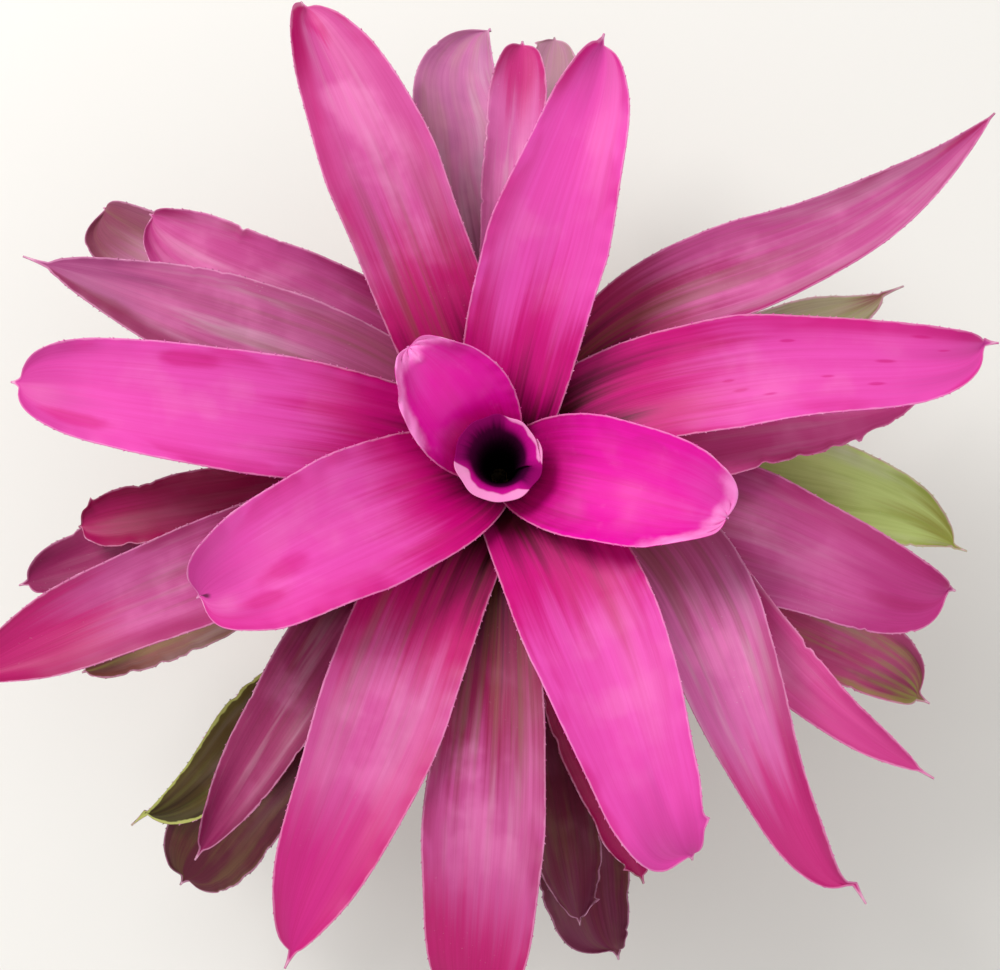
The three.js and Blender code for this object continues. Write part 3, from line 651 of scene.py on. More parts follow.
def seat_of(rank):
    """The radius and height at which a leaf of this rank springs from the stem."""
    age = (rank / LAST) ** SEAT["spread"]
    return lerp(SEAT["top_radius"], SEAT["foot_radius"], age), lerp(SEAT["top_z"], SEAT["foot_z"], age)


def lean_of(leaf, rank, length, t):
    """A leaf's elevation above the horizon at shares t of its length, in radians."""
    age = rank / LAST
    sheath = lerp(LEAN["sheath_young"], LEAN["sheath_old"], age)
    upright = LEAN["upright"] * math.exp(-age / LEAN["upright_age"])
    blade = LEAN["blade_young"] * (1 - age) + upright + leaf["lift"]
    bend = (blade - sheath) * ease(LEAN["bend_from"], LEAN["bend_to"], t * length)
    droop = leaf["droop"] * ease(LEAN["droop_from"], LEAN["droop_to"], t)
    hook = leaf["hook"] * ease(LEAN["hook_from"], 1, t)
    return np.radians(sheath + bend - droop - hook)


def swing_of(leaf, t):
    """How far its heading has swung round from its foot's there, in radians."""
    inner = leaf["sweep"] * ease(SWING["start"], SWING["middle"], t)
    outer = leaf["turn"] * ease(SWING["middle"], 1, t)
    return np.radians(inner + outer)


def spine_of(leaf, rank):
    """A leaf's midline. Its lean and reach give its length, and its tip's bearing gives its foot's."""
    radius, height = seat_of(rank)
    shares = (np.arange(SPINE_STEPS) + 0.5) / SPINE_STEPS
    swing = swing_of(leaf, shares)
    length = leaf["reach"] + BLADE["spare"]
    for _ in range(SPINE_ROUNDS):
        lean = lean_of(leaf, rank, length, shares)
        steps = np.stack([np.cos(lean) * np.cos(swing), np.cos(lean) * np.sin(swing), np.sin(lean)], 1)
        run = np.vstack([np.zeros(3), np.cumsum(steps / SPINE_STEPS, 0)])
        x, y = run[-1, :2]
        # The length that puts the tip at its reach is the root of a quadratic.
        along, square, beyond = radius * x, x * x + y * y, radius**2 - leaf["reach"] ** 2
        exact = (-along + math.sqrt(along**2 - square * beyond)) / square
        length = (length + exact) / 2
    points = run * length + (radius, 0, height)
    foot = math.radians(leaf["az"]) - math.atan2(points[-1, 1], points[-1, 0])
    turn = np.array(Matrix.Rotation(foot, 3, "Z"))
    return dict(length=length, foot=foot, points=points @ turn.T)


def narrowing_of(leaf, t, length):
    """How far the blade is past its widest place, from 0 to 1 at its end, and what its rounding leaves."""
    end = 1 - CUSP["set_in"] * leaf["cusp"] / length
    past = np.clip((t - leaf["belly"]) / (end - leaf["belly"]), 0, 1)
    return past, np.sqrt(1 - past ** leaf["end"])


def open_half_width(leaf, t, length):
    """Half the width that the leaf would have at shares t without its sheath and its point."""
    past, rounded = narrowing_of(leaf, t, length)
    swell = lerp(leaf["waist"], 1, ease(BLADE["widen_from"], leaf["belly"], t))
    return leaf["width"] / 2 * swell * (1 - leaf["narrow"] * past ** BLADE["taper"]) * rounded


def half_width_of(leaf, t, r, length):
    """Half the leaf's width at shares t, where its midline is r from the axis."""
    cusp = leaf["cusp"]
    shoulder = CUSP["shoulder"] * open_half_width(leaf, 1 - cusp / length, length)
    left = np.clip((1 - t) * length / cusp, 0, 1)
    point = CUSP["half_width"] + min(shoulder, CUSP["flare"] * cusp) * left ** CUSP["power"]
    sheath, blade = SHEATH["wrap"] * r, open_half_width(leaf, t, length)
    power = BLEND_POWER
    half = sheath * blade / (sheath**power + blade**power + 1e-6) ** (1 / power)
    joined = (half**power + point**power) ** (1 / power)
    return np.maximum(half, joined * ease(CUSP["start"], CUSP["end"], t))


def rolled_surface(leaf, spine, centre, t, u):
    """The rolled heart leaf's middle surface: a spiral round the axis, with a flared and lumpy lip."""
    r = np.hypot(centre[:, 0], centre[:, 1])
    bearing = np.arctan2(centre[:, 1], centre[:, 0]) + u * leaf["rolled"]
    lower = SHEATH["slope"] * u * u * t
    spiral = r * (1 - lower) + SHEATH["pitch"] * u * leaf["rolled"] / (2 * math.pi)
    lip = ease(LIP["start"], 1, t)
    facing = 0.5 + 0.5 * np.cos(bearing - LIP["side"])
    lumps = LIP["lumps"] * np.sin(LIP["lump_count"] * u * leaf["rolled"]) * np.sin(LIP["lump_cross"] * u + 1)
    spiral = spiral + lip * (LIP["flare"] * facing + lumps)
    drop = lower * spine["length"] + lip * (LIP["flare"] * LIP["drop"] * facing - lumps)
    return np.stack([spiral * np.cos(bearing), spiral * np.sin(bearing), centre[:, 2] - drop], 1)


def surface_of(leaf, rank, spine, t, u):
    """A leaf's middle surface, at shares t of its length and u from -1 to 1 across it."""
    at = t * SPINE_STEPS
    steps = np.arange(SPINE_STEPS + 1)
    centre = np.stack([np.interp(at, steps, spine["points"][:, i]) for i in range(3)], 1)
    if leaf["rolled"]:
        return rolled_surface(leaf, spine, centre, t, u)
    lean = lean_of(leaf, rank, spine["length"], t)
    heading = spine["foot"] + swing_of(leaf, t)
    flat, level = np.cos(lean), np.zeros_like(t)
    along = np.stack([flat * np.cos(heading), flat * np.sin(heading), np.sin(lean)], 1)
    across = np.stack([-np.sin(heading), np.cos(heading), level], 1)
    up = np.cross(along, across)
    # Low down, the leaf is part of a cone round the stem.
    r = np.hypot(centre[:, 0], centre[:, 1])
    half = half_width_of(leaf, t, r, spine["length"])
    bearing = np.arctan2(centre[:, 1], centre[:, 0]) + u * half / r
    sheath = np.stack([r * np.cos(bearing), r * np.sin(bearing), centre[:, 2]], 1)
    # Further out it is a channel of its own, waved at its edges, that closes at its end.
    clasp = np.minimum(SHEATH["most_clasp"], half * np.sin(lean) / r)
    cup = np.maximum(CUP["least"], lerp(clasp, leaf["cup"], ease(CUP["start"], CUP["end"], t)))
    cup = cup + BOW["cup"] * ease(BOW["start"], 1, t)
    phase = 2 * math.pi * WAVE["count"] * t + WAVE["step"] * rank + WAVE["skew"] * u
    swell = ease(WAVE["start"], WAVE["end"], t) * np.minimum(1, half / WAVE["full_half_width"])
    wave = WAVE["height"] * np.abs(u) ** EDGE_POWER * np.sin(phase) * swell
    inside = edge_distance(leaf, t, u, spine)
    lift = half / cup * (1 - np.cos(cup * u)) + wave
    lift = lift + relief_of(rank, half, t, u) + turned_up(leaf, t, u, inside)
    aside = half / cup * np.sin(cup * u) + outline_of(leaf, rank, t, u) * swell + horn_of(leaf, t, u)
    rounded = narrowing_of(leaf, t, spine["length"])[1]
    bow = CUSP["counter"] * ease(leaf["belly"], CUSP["counter_end"], t)
    aside = aside + leaf["aim"] * (1 - rounded - bow)
    slant = leaf["skew"] * u * half * ease(SKEW["start"], SKEW["end"], t)
    blade = centre + across * aside[:, None] + up * lift[:, None]
    blade = blade + along * (slant + end_of(leaf, t, u))[:, None]
    return lerp(sheath, blade, ease(SHEATH["start"], SHEATH["end"], t * spine["length"])[:, None])


def outline_of(leaf, rank, t, u):
    """How far the edges wander out from a smooth outline: more on older leaves, which get nicked too."""
    side = np.sign(u)
    salt = rank * 2.1 + 1.3 * side
    turns = 2 * math.pi * t
    wander = np.sin(turns * EDGE["bends"] + salt)
    wander = wander + EDGE["short"] * np.sin(turns * EDGE["short_bends"] + 2.3 * salt)
    tears = turns * EDGE["tears"] + EDGE["tear_sway"] * np.sin(EDGE["tear_bends"] * t + salt)
    torn = np.maximum(0, np.sin(tears)) ** 2
    out = EDGE["wander"] * ((EDGE["young"] + rank / LAST) * wander - leaf["frayed"] * torn)
    rng = random.Random(rank)
    for _ in range(EDGE["nicks"] if rank >= EDGE["nicked_from"] else 0):
        place, edge = rng.uniform(EDGE["nick_start"], EDGE["nick_end"]), rng.choice((-1, 1))
        depth = rng.uniform(EDGE["nick_least"], 1) * EDGE["nick"]
        out = out - depth * (side == edge) * np.exp(-(((t - place) / EDGE["nick_width"]) ** 2))
    return out * side * np.abs(u) ** EDGE_POWER


def horn_of(leaf, t, u):
    """How far a second point stands out from the edge there, where the leaf has one near its end."""
    place = abs(leaf["horn"])
    side = math.copysign(1, leaf["horn"])
    dent = HORN["dent"] * np.exp(-(((t - place) / HORN["spread"]) ** 2))
    spike = np.exp(-np.abs((t - place) / HORN["width"])) - dent
    return HORN["length"] * spike * side * np.clip(u * side, 0, 1) ** HORN["power"] * (place > 0)


def turned_up(leaf, t, u, inside):
    """How far up the edge turns near the end, where the leaf has a fold or a curled lip."""
    fold = FOLD["height"] * np.clip(u * leaf["fold"], 0, 1) ** EDGE_POWER
    fold = fold * ease(FOLD["start"], FOLD["end"], t) * (1 - ease(FOLD["gone_from"], 1, t))
    crimp = CURL["crimp"] * np.sin(CURL["crimps_across"] * u) * np.sin(CURL["crimps_along"] * t)
    return fold + CURL["height"] * lip_share(leaf, t, u, inside) * (1 + crimp)


def lip_share(leaf, t, u, inside):
    """How much of the lip a place has: all of it at the end's rim, and none further inside."""
    if not leaf["lip"]:
        return np.zeros_like(t)
    rim = ease(leaf["lip"], 0, inside) * ease(leaf["lip_from"], leaf["lip_from"] + CURL["onset"], t)
    end = CURL["end_share"] * ease(CURL["end_start"], CURL["end_full"], t)
    return rim * np.maximum(ease(CURL["side_start"], CURL["side_end"], u * leaf["lip_side"]), end)


def end_of(leaf, t, u):
    """How far the end reaches out along the leaf there: it stays back at a notch."""
    return -leaf["notch"] * np.exp(-((u / NOTCH["width"]) ** 2)) * ease(NOTCH["start"], NOTCH["end"], t)


def relief_of(rank, half, t, u):
    """Small unevenness of the blade, out of its upper face: pleats, slow swells and rippled edges."""
    salt = rank * 1.7
    turns = 2 * math.pi * t
    fade = ease(RELIEF["start"], RELIEF["full"], t) * np.minimum(1, half / WAVE["full_half_width"])
    fade = fade * (1 - ease(RELIEF["end"], 1, t))
    sway = RELIEF["pleat_sway"] * np.sin(RELIEF["pleat_bends"] * t + salt)
    pleats = RELIEF["pleat"] * np.sin(RELIEF["pleats"] * u + sway + salt)
    swells = RELIEF["swell"] * np.sin(turns * RELIEF["swells"] + RELIEF["swell_slant"] * u + salt)
    swells = swells * np.cos(RELIEF["swell_cross"] * u + salt)
    sway = RELIEF["ripple_sway"] * np.sin(RELIEF["ripple_bends"] * t + salt)
    ripples = RELIEF["ripple"] * np.sin(turns * RELIEF["ripples"] + sway)
    ripples = ripples * ease(RELIEF["ripple_from"], 1, np.abs(u)) ** 2
    return (pleats + swells + ripples) * fade


def normal_of(leaf, rank, spine, t, u):
    """The leaf's normals there, out of its upper face."""
    dt, du = NEAR["along"], NEAR["across"]
    ahead = surface_of(leaf, rank, spine, np.minimum(t + dt, 1), u)
    behind = surface_of(leaf, rank, spine, np.maximum(t - dt, 0), u)
    left = surface_of(leaf, rank, spine, t, np.minimum(u + du, 1))
    right = surface_of(leaf, rank, spine, t, np.maximum(u - du, -1))
    normal = np.cross(ahead - behind, left - right)
    return normal / np.linalg.norm(normal, axis=1)[:, None]


def thickness_of(leaf, t, u):
    """Its thickness there: thin at the sheath, at the edges and at the tip."""
    if leaf["rolled"]:
        return lerp(SHEATH["thickness"], SHEATH["rim"], ease(SHEATH["rim_from"], 1, t))
    thick = ease(BLADE["thick_start"], BLADE["thick_end"], t)
    body = lerp(SHEATH["thickness"], BLADE["thickness"], thick)
    lost = BLADE["edge_loss"] * np.abs(u) ** BLADE["edge_power"]
    lost = lost + BLADE["tip_loss"] * ease(BLADE["tip_from"], 1, t)
    return np.maximum(BLADE["least"], body - lost)


# ---------------------------------------------------------------- making the pieces


def mesh_of(name, bm):
    """Makes a bmesh into a mesh, and frees it."""
    mesh = bpy.data.meshes.new(name)
    bm.to_mesh(mesh)
    bm.free()
    return mesh


def put_in_scene(name, data):
    thing = bpy.data.objects.new(name, data)
    bpy.context.scene.collection.objects.link(thing)
    return thing


def add_piece(name, bm, finishes, node):
    """Makes a bmesh into a piece of the plant that stands for a node of the frame."""
    piece = put_in_scene(name, mesh_of(name, bm))
    for finish in finishes:
        piece.data.materials.append(finish)
    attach(piece, BODY)
    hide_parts(node)
    return piece


def smooth(bm):
    """Turns a bmesh's faces outwards and shades them smooth."""
    bmesh.ops.recalc_face_normals(bm, faces=bm.faces[:])
    for face in bm.faces:
        face.smooth = True


def leaf_bmesh():
    """An empty bmesh with the layers that the leaf finishes read."""
    bm = bmesh.new()
    bm.verts.layers.float_vector.new("blade")
    bm.verts.layers.float.new("lip")
    return bm


def leaf_shell(leaf, rank, spine, columns, rows, bm):
    """Adds one leaf's closed shell to a bmesh. Material 0 is its top, 1 its underside and 2 its edge."""
    order = bm.verts.layers.int.new("order")
    blade = bm.verts.layers.float_vector["blade"]
    rim = bm.verts.layers.float["lip"]
    grid = bmesh.ops.create_grid(bm, x_segments=columns, y_segments=rows, size=1)["verts"]
    flat = np.array([vert.co for vert in grid])
    # Columns crowd towards the edges, and rows towards the tip.
    u = -flat[:, 0] * (1 + CROWD["edges"] - CROWD["edges"] * flat[:, 0] ** 2)
    t = 1 - (1 - (flat[:, 1] + 1) / 2) ** CROWD["tip"]
    for i, vert in enumerate(grid):
        vert[order] = i
    faces = list({face for vert in grid for face in vert.link_faces})
    edges = list({edge for vert in grid for edge in vert.link_edges})
    made = bmesh.ops.extrude_face_region(bm, geom=faces + edges + grid, use_keep_orig=True)["geom"]
    top = [element for element in made if isinstance(element, bmesh.types.BMVert)]
    middle = surface_of(leaf, rank, spine, t, u)
    half = (normal_of(leaf, rank, spine, t, u).T * thickness_of(leaf, t, u) / 2).T
    edge = edge_distance(leaf, t, u, spine)
    lip = lip_share(leaf, t, u, edge)
    for side, verts in ((1, top), (-1, grid)):
        sheet = ((middle + side * half) * MM).tolist()
        for vert in verts:
            i = vert[order]
            vert.co = sheet[i]
            vert[blade] = (u[i], t[i], edge[i])
            vert[rim] = lip[i]
    above = set(top)
    shell = {face for vert in grid + top for face in vert.link_faces}
    for face in shell:
        count = sum(vert in above for vert in face.verts)
        face.material_index = 0 if count == len(face.verts) else 1 if count == 0 else 2
    bm.verts.layers.int.remove(bm.verts.layers.int["order"])
    smooth(bm)


def edge_distance(leaf, t, u, spine):
    """How far inside the leaf's edge each point lies, in millimetres."""
    if leaf["rolled"]:
        return (1 - t) * spine["length"]
    steps = np.linspace(0, 1, SPINE_STEPS + 1)
    r = np.interp(t, steps, np.hypot(spine["points"][:, 0], spine["points"][:, 1]))
    aside = (1 - np.abs(u)) * half_width_of(leaf, t, r, spine["length"])
    return np.minimum(aside, (1 - t) * spine["length"])


def add_teeth(bm, leaf, rank, spine, sizes):
    """Adds small forward-pointing teeth along both edges of a blade to a bmesh."""
    rng = np.random.default_rng(100 + rank)
    blade = bm.verts.layers.float_vector["blade"]
    count = int(TEETH["span"] * spine["length"] * MM / sizes.tooth_spacing)
    for side in (-1.0, 1.0):
        jitter = rng.uniform(-TEETH["jitter"], TEETH["jitter"], count)
        t = TEETH["start"] + TEETH["span"] * (np.arange(count) + jitter) / count
        rim = np.full(count, side)
        feet = surface_of(leaf, rank, spine, t, rim)
        outward = feet - surface_of(leaf, rank, spine, t, rim * TEETH["inward"])
        forward = surface_of(leaf, rank, spine, t + NEAR["along"], rim) - feet
        for i in range(count):
            lead = Vector(forward[i]).normalized() * rng.uniform(*TEETH["lean"])
            point = (Vector(outward[i]).normalized() + lead).normalized()
            length = sizes.tooth_length * rng.uniform(*TEETH["size"])
            place = Matrix.Translation(Vector(feet[i]) * MM + point * length * TEETH["out"])
            tooth = bmesh.ops.create_cone(
                bm, cap_ends=True, segments=5, radius1=length * TEETH["foot"], radius2=length * TEETH["tip"],
                depth=length, matrix=place @ point.to_track_quat("Z", "Y").to_matrix().to_4x4(),
            )  # fmt: skip
            for vert in tooth["verts"]:
                vert[blade] = (side, t[i], 0)
    for face in bm.faces:
        face.material_index = 2


def turned(profile, steps):
    """A closed solid: a profile of (radius, height) pairs in millimetres, turned about the Z axis."""
    bm = bmesh.new()
    verts = [bm.verts.new((r * MM, 0, z * MM)) for r, z in profile]
    edges = [bm.edges.new(pair) for pair in zip(verts, verts[1:])]
    bmesh.ops.spin(
        bm, geom=verts + edges, cent=(0, 0, 0), axis=(0, 0, 1), angle=2 * math.pi, steps=steps, use_merge=True
    )
    bmesh.ops.remove_doubles(bm, verts=bm.verts[:], dist=1e-6)
    smooth(bm)
    return bm


def rounded(profile):
    """The profile with its inner corners rounded off. Its first and last points stay."""
    points = [Vector(p) for p in profile]
    result = [points[0]]
    for before, corner, after in zip(points, points[1:], points[2:]):
        room = min((corner - before).length, (after - corner).length) / ROUNDING["room"]
        reach = min(ROUNDING["radius"], room)
        start = corner + (before - corner).normalized() * reach
        end = corner + (after - corner).normalized() * reach
        for i in range(ROUNDING["steps"] + 1):
            share = i / ROUNDING["steps"]
            result.append(start.lerp(corner, share).lerp(corner.lerp(end, share), share))
    result.append(points[-1])
    return [tuple(p) for p in result]


def filled_in(profile, longest):
    """The profile with points added along its long straight stretches."""
    result = [profile[0]]
    for (r0, z0), (r1, z1) in zip(profile, profile[1:]):
        parts = max(1, math.ceil(math.hypot(r1 - r0, z1 - z0) / longest))
        result += [(lerp(r0, r1, i / parts), lerp(z0, z1, i / parts)) for i in range(1, parts + 1)]
    return result


# The pot and what is in it, as the frame has them.
POT = dict(
    height=110, top_radius=68, foot_radius=47, wall=5, floor=7, rim_height=24, rim_step=3.5, rim_flare=1.5,
    drains=3, drain_radius=5, drain_circle=22, gap=0.35,
)  # fmt: skip
MIX = dict(level=98, under_cone=37, hole_radius=12.35, hole_bottom=57.65, hole_top=98.65)
STEM = dict(plug_radius=12, plug_bottom=58, plug_round=4, cone_bottom=99, clear=0.9, bud_height=12)
RIM_BOTTOM = POT["height"] - POT["rim_height"]

# The bud on the stem, in shares of the stem's radius there and of the bud's height.
BUD = ((0.45, 0.35), (0.3, 0.6), (0, 1))

# The pot's soft corners, each at most 1 / room of the shorter stretch beside it. Its throwing rings, from the
# height start to the height end and beyond the radius outside: how close a fine and a coarse set are, and how
# the wall wobbles. How long the faces of a turned piece are at most.
ROUNDING = dict(radius=2.2, steps=4, room=2.2)
RINGS = dict(start=3, end=108, outside=40, fine=1.15, sway=0.6, coarse=0.31, wobble=0.4, wobble_rise=20)
LONGEST = dict(pot=2.5, mix=2, stem=3)

# How uneven the mix is. How chips vary in size, breadth, thickness and height, how far they keep from the
# stem and the pot, and how tilted, rough and worn they are.
UNEVEN = (-2.2, 0.4)
CHIP = dict(
    size=(0.45, 1.3), breadth=(0.35, 0.8), thickness=(0.15, 0.4), height=(-1, 1.6), clear=4, tilt=0.5,
    rough=0.2, worn=18,
)  # fmt: skip


def pot_outside(z):
    """The pot's outer radius at height z, up to the foot of its rim."""
    return lerp(POT["foot_radius"], POT["top_radius"] - POT["rim_step"], z / RIM_BOTTOM)


def pot_inside(z):
    """The pot's inner radius at height z."""
    return pot_outside(min(z, RIM_BOTTOM)) - POT["wall"]


def pot_shell(sizes):
    """The pot's walls, floor and rim, softly rounded and ringed by the wheel."""
    mouth, flared = pot_inside(POT["height"]), POT["top_radius"] + POT["rim_flare"]
    corners = [
        (0, 0), (POT["foot_radius"], 0), (pot_outside(RIM_BOTTOM), RIM_BOTTOM),
        (POT["top_radius"], RIM_BOTTOM), (flared, POT["height"]), (mouth, POT["height"]), (mouth, RIM_BOTTOM),
        (pot_inside(POT["floor"]), POT["floor"]), (0, POT["floor"]),
    ]  # fmt: skip
    bm = turned(filled_in(rounded(corners), LONGEST["pot"]), sizes.pot_steps)
    for vert in bm.verts:
        r = math.hypot(vert.co.x, vert.co.y)
        z = vert.co.z / MM
        if r > RINGS["outside"] * MM and RINGS["start"] < z < RINGS["end"]:
            angle = math.atan2(vert.co.y, vert.co.x)
            fine = math.sin(z * RINGS["fine"] + RINGS["sway"] * math.sin(angle))
            wobble = RINGS["wobble"] * math.sin(2 * angle + z / RINGS["wobble_rise"])
            ring = fine * math.sin(z * RINGS["coarse"]) + wobble
            vert.co += Vector((vert.co.x, vert.co.y, 0)) / r * ring * sizes.throwing_rings
    return bm


def cut_drains(pot):
    """Cuts the drain holes through the pot's floor."""
    bm = bmesh.new()
    for i in range(POT["drains"]):
        angle = math.pi / 2 + i * 2 * math.pi / POT["drains"]
        x, y = (POT["drain_circle"] * MM * f(angle) for f in (math.cos, math.sin))
        place = Matrix.Translation((x, y, POT["floor"] / 2 * MM))
        radius = POT["drain_radius"] * MM
        bmesh.ops.create_cone(
            bm, cap_ends=True, segments=32, radius1=radius, radius2=radius, depth=POT["floor"] * 3 * MM,
            matrix=place,
        )  # fmt: skip
    cutter = put_in_scene("drain_cutter", mesh_of("drain_cutter", bm))
    boolean = pot.modifiers.new("drains", "BOOLEAN")
    boolean.object, boolean.operation, boolean.solver = cutter, "DIFFERENCE", "EXACT"
    shaped = bpy.data.meshes.new_from_object(pot.evaluated_get(bpy.context.evaluated_depsgraph_get()))
    pot.modifiers.clear()
    old, pot.data = pot.data, shaped
    bpy.data.meshes.remove(old)
    bpy.data.objects.remove(cutter)


def mix_block(sizes):
    """The potting mix below its chips, with an uneven top and a hole for the stem."""
    gap, floor, level = POT["gap"], POT["floor"] + POT["gap"], MIX["level"]
    edge, hole = pot_inside(level) - gap, MIX["hole_radius"]
    corners = [(0, floor), (pot_inside(floor) - gap - 3, floor), (pot_inside(floor + 3) - gap, floor + 3),
               (pot_inside(RIM_BOTTOM) - gap, RIM_BOTTOM), (edge, level), (MIX["under_cone"], level),
               (hole + 1, MIX["hole_top"]), (hole, MIX["hole_top"] - 1), (hole, MIX["hole_bottom"]),
               (0, MIX["hole_bottom"])]  # fmt: skip
    bm = turned(filled_in(corners, LONGEST["mix"]), sizes.pot_steps)
    rng = random.Random(sizes.mix_seed)
    for vert in bm.verts:
        r = math.hypot(vert.co.x, vert.co.y) / MM
        if vert.co.z / MM > level - 0.1 and MIX["under_cone"] + 1 < r < edge - 1:
            vert.co.z += rng.uniform(*UNEVEN) * MM
    return bm


def strew(bm, count, length, materials, rng):
    """Adds rough blocks that lie on the mix, between the stem and the pot, to a bmesh."""
    for _ in range(count):
        size = length * rng.uniform(*CHIP["size"])
        breadth, thickness = rng.uniform(*CHIP["breadth"]), rng.uniform(*CHIP["thickness"])
        shape = Matrix.Diagonal((size, size * breadth, size * thickness, 1))
        angle, share = rng.uniform(0, 2 * math.pi), math.sqrt(rng.random())
        inner, outer = MIX["under_cone"] + CHIP["clear"], pot_inside(MIX["level"]) - CHIP["clear"]
        radius = lerp(inner, outer, share) * MM
        height = (MIX["level"] + rng.uniform(*CHIP["height"])) * MM
        place = Matrix.Translation((radius * math.cos(angle), radius * math.sin(angle), height))
        for axis, most in (("Z", math.pi), ("X", CHIP["tilt"]), ("Y", CHIP["tilt"])):
            place = place @ Matrix.Rotation(rng.uniform(-most, most), 4, axis)
        chip = bmesh.ops.create_cube(bm, size=1)["verts"]
        index = rng.choice(materials)
        for vert in chip:
            jitter = Vector([rng.uniform(-CHIP["rough"], CHIP["rough"]) for _ in range(3)])
            vert.co = place @ shape @ (vert.co + jitter)
            for face in vert.link_faces:
                face.material_index = index


def chips_mesh(sizes):
    """Bark chips and grains of perlite with worn edges, as one mesh."""
    bm = bmesh.new()
    rng = random.Random(sizes.mix_seed)
    strew(bm, sizes.chips, sizes.chip_length, (1, 1, 2), rng)
    strew(bm, sizes.grains, sizes.grain_length, (3,), rng)
    bmesh.ops.bevel(
        bm, geom=bm.edges[:], offset=CHIP["worn"], offset_type="PERCENT", segments=2, profile=0.5,
        affect="EDGES", material=-1,
    )  # fmt: skip
    return mesh_of("chips", bm)


def stem_body(sizes):
    """The stem: its plug, its ringed cone inside the leaves' feet, and the growing bud."""
    profile = [
        (0, STEM["plug_bottom"]),
        (STEM["plug_radius"] - STEM["plug_round"], STEM["plug_bottom"] + 1),
        (STEM["plug_radius"], STEM["plug_bottom"] + 2 * STEM["plug_round"]),
        (STEM["plug_radius"], STEM["cone_bottom"]),
        (SEAT["foot_radius"] - 2, STEM["cone_bottom"]),
        (SEAT["foot_radius"] + 1, SEAT["foot_z"] - POT["gap"] - 1),
    ]
    for rank in range(LAST, 0, -1):
        r, z = seat_of(rank)
        profile.append((r - STEM["clear"], z - POT["gap"]))
    r, z = seat_of(0)
    profile.append((r - STEM["clear"] - SHEATH["pitch"] / 2, z - POT["gap"]))
    profile += [(r * wide, z + STEM["bud_height"] * high) for wide, high in BUD]
    return turned(filled_in(profile, LONGEST["stem"]), sizes.pot_steps // 2)


# ---------------------------------------------------------------- settings


def colour_property(name, description, code):
    return FloatVectorProperty(
        name=name, description=description, default=paint(code), subtype="COLOR", size=3, min=0, max=1
    )


def length_property(name, description, metres):
    return FloatProperty(
        name=name, description=description, default=metres, min=0, unit="LENGTH", precision=5
    )


class NeoregeliaSizes(bpy.types.PropertyGroup):
    """How finely the plant is built, and the sizes of its small detail."""

    columns: IntProperty(name="Columns", description="Faces across a leaf", default=30, min=8, max=60)
    rows: IntProperty(name="Rows", description="Faces along a leaf", default=140, min=20, max=300)
    heart_columns: IntProperty(name="Heart Columns", description="Faces round the heart leaf", default=160)
    heart_rows: IntProperty(name="Heart Rows", description="Faces along the heart leaf", default=70)
    tooth_length: length_property("Tooth Length", "How far the teeth stand out", 0.0009)
    tooth_spacing: length_property("Tooth Spacing", "From one tooth to the next", 0.0045)
    pot_steps: IntProperty(name="Pot Steps", description="Faces round the pot", default=144, min=24)
    throwing_rings: length_property("Throwing Rings", "Depth of the rings on the pot's wall", 0.00012)
    chips: IntProperty(name="Bark Chips", description="How many chips lie on the mix", default=620)
    chip_length: length_property("Chip Length", "Length of a usual bark chip", 0.009)
    grains: IntProperty(name="Perlite Grains", description="How many grains lie on the mix", default=90)
    grain_length: length_property("Grain Length", "Length of a usual grain of perlite", 0.004)
    mix_seed: IntProperty(name="Mix Seed", description="Changes how the chips lie", default=11)


class NeoregeliaColours(bpy.types.PropertyGroup):
    """Colours that the plant's finishes share."""

    margin: colour_property("Margin", "The thin pale margin of a leaf", "f0a8d0")
    lip: colour_property("Lip", "The curled rim of the youngest leaves", "f48ad0")
    point: colour_property("Point", "The hard point of a leaf", "f0c8d8")
    green: colour_property("Green", "Patches of an old leaf that are still green", "8c9c34")
    olive: colour_property("Olive", "Streaks near a leaf's foot", "745222")
    scurf: colour_property("Scurf", "The silver scurf on a leaf", "d8ccd0")
    underside: colour_property("Underside", "The undersides of the leaves", "86786a")
    stem: colour_property("Stem", "The stem", "7d6a45")
    clay: colour_property("Clay", "The pot", "bd6a44")
    clay_dark: colour_property("Dark Clay", "Darker patches of the pot", "a4522f")
    bloom: colour_property("Bloom", "Mineral bloom on the pot", "dcc6b0")
    bark: colour_property("Bark", "Bark chips", "6e4630")
    mix_dark: colour_property("Dark Mix", "The darkest crumbs of the mix", "1c130d")
    mix_light: colour_property("Light Mix", "The lightest crumbs of the mix", "4c3626")
    floor: colour_property("Floor", "The studio floor", "ebe9e4")


class NeoregeliaStage(bpy.types.PropertyGroup):
    """The floor, the lights and the camera."""

    floor_size: length_property("Floor Size", "Side of the floor", 30)
    elevation: FloatProperty(
        name="Elevation", description="How high the camera looks down from", default=math.radians(82),
        unit="ROTATION",
    )  # fmt: skip
    distance: length_property("Distance", "From the camera to what it looks at", 1.18)
    target_height: length_property("Target Height", "Height of what it looks at", 0.2)
    target_back: length_property("Target Shift", "How far in front of the stem that is", 0.0116)
    lens: FloatProperty(name="Lens", description="Focal length in millimetres", default=85, min=10)
    key_power: FloatProperty(name="Key", description="Power of the key light in watts", default=29)
    fill_power: FloatProperty(name="Fill", description="Power of the fill light in watts", default=7)
    sky: FloatProperty(name="Sky", description="Brightness of the light from all round", default=0.68)


# ---------------------------------------------------------------- operators


def settings_of(context):
    """The sizes and the colours that the pieces are made with."""
    return context.scene.neoregelia_sizes, context.scene.neoregelia_colours


class OBJECT_OT_neoregelia_pot(bpy.types.Operator):
    """Make the clay pot"""

    bl_idname = "object.neoregelia_pot"
    bl_label = "Clay Pot"

    def execute(self, context):
        sizes, colours = settings_of(context)
        pot = add_piece("clay_pot", pot_shell(sizes), [clay_finish(colours)], "pot")
        cut_drains(pot)
        return {"FINISHED"}


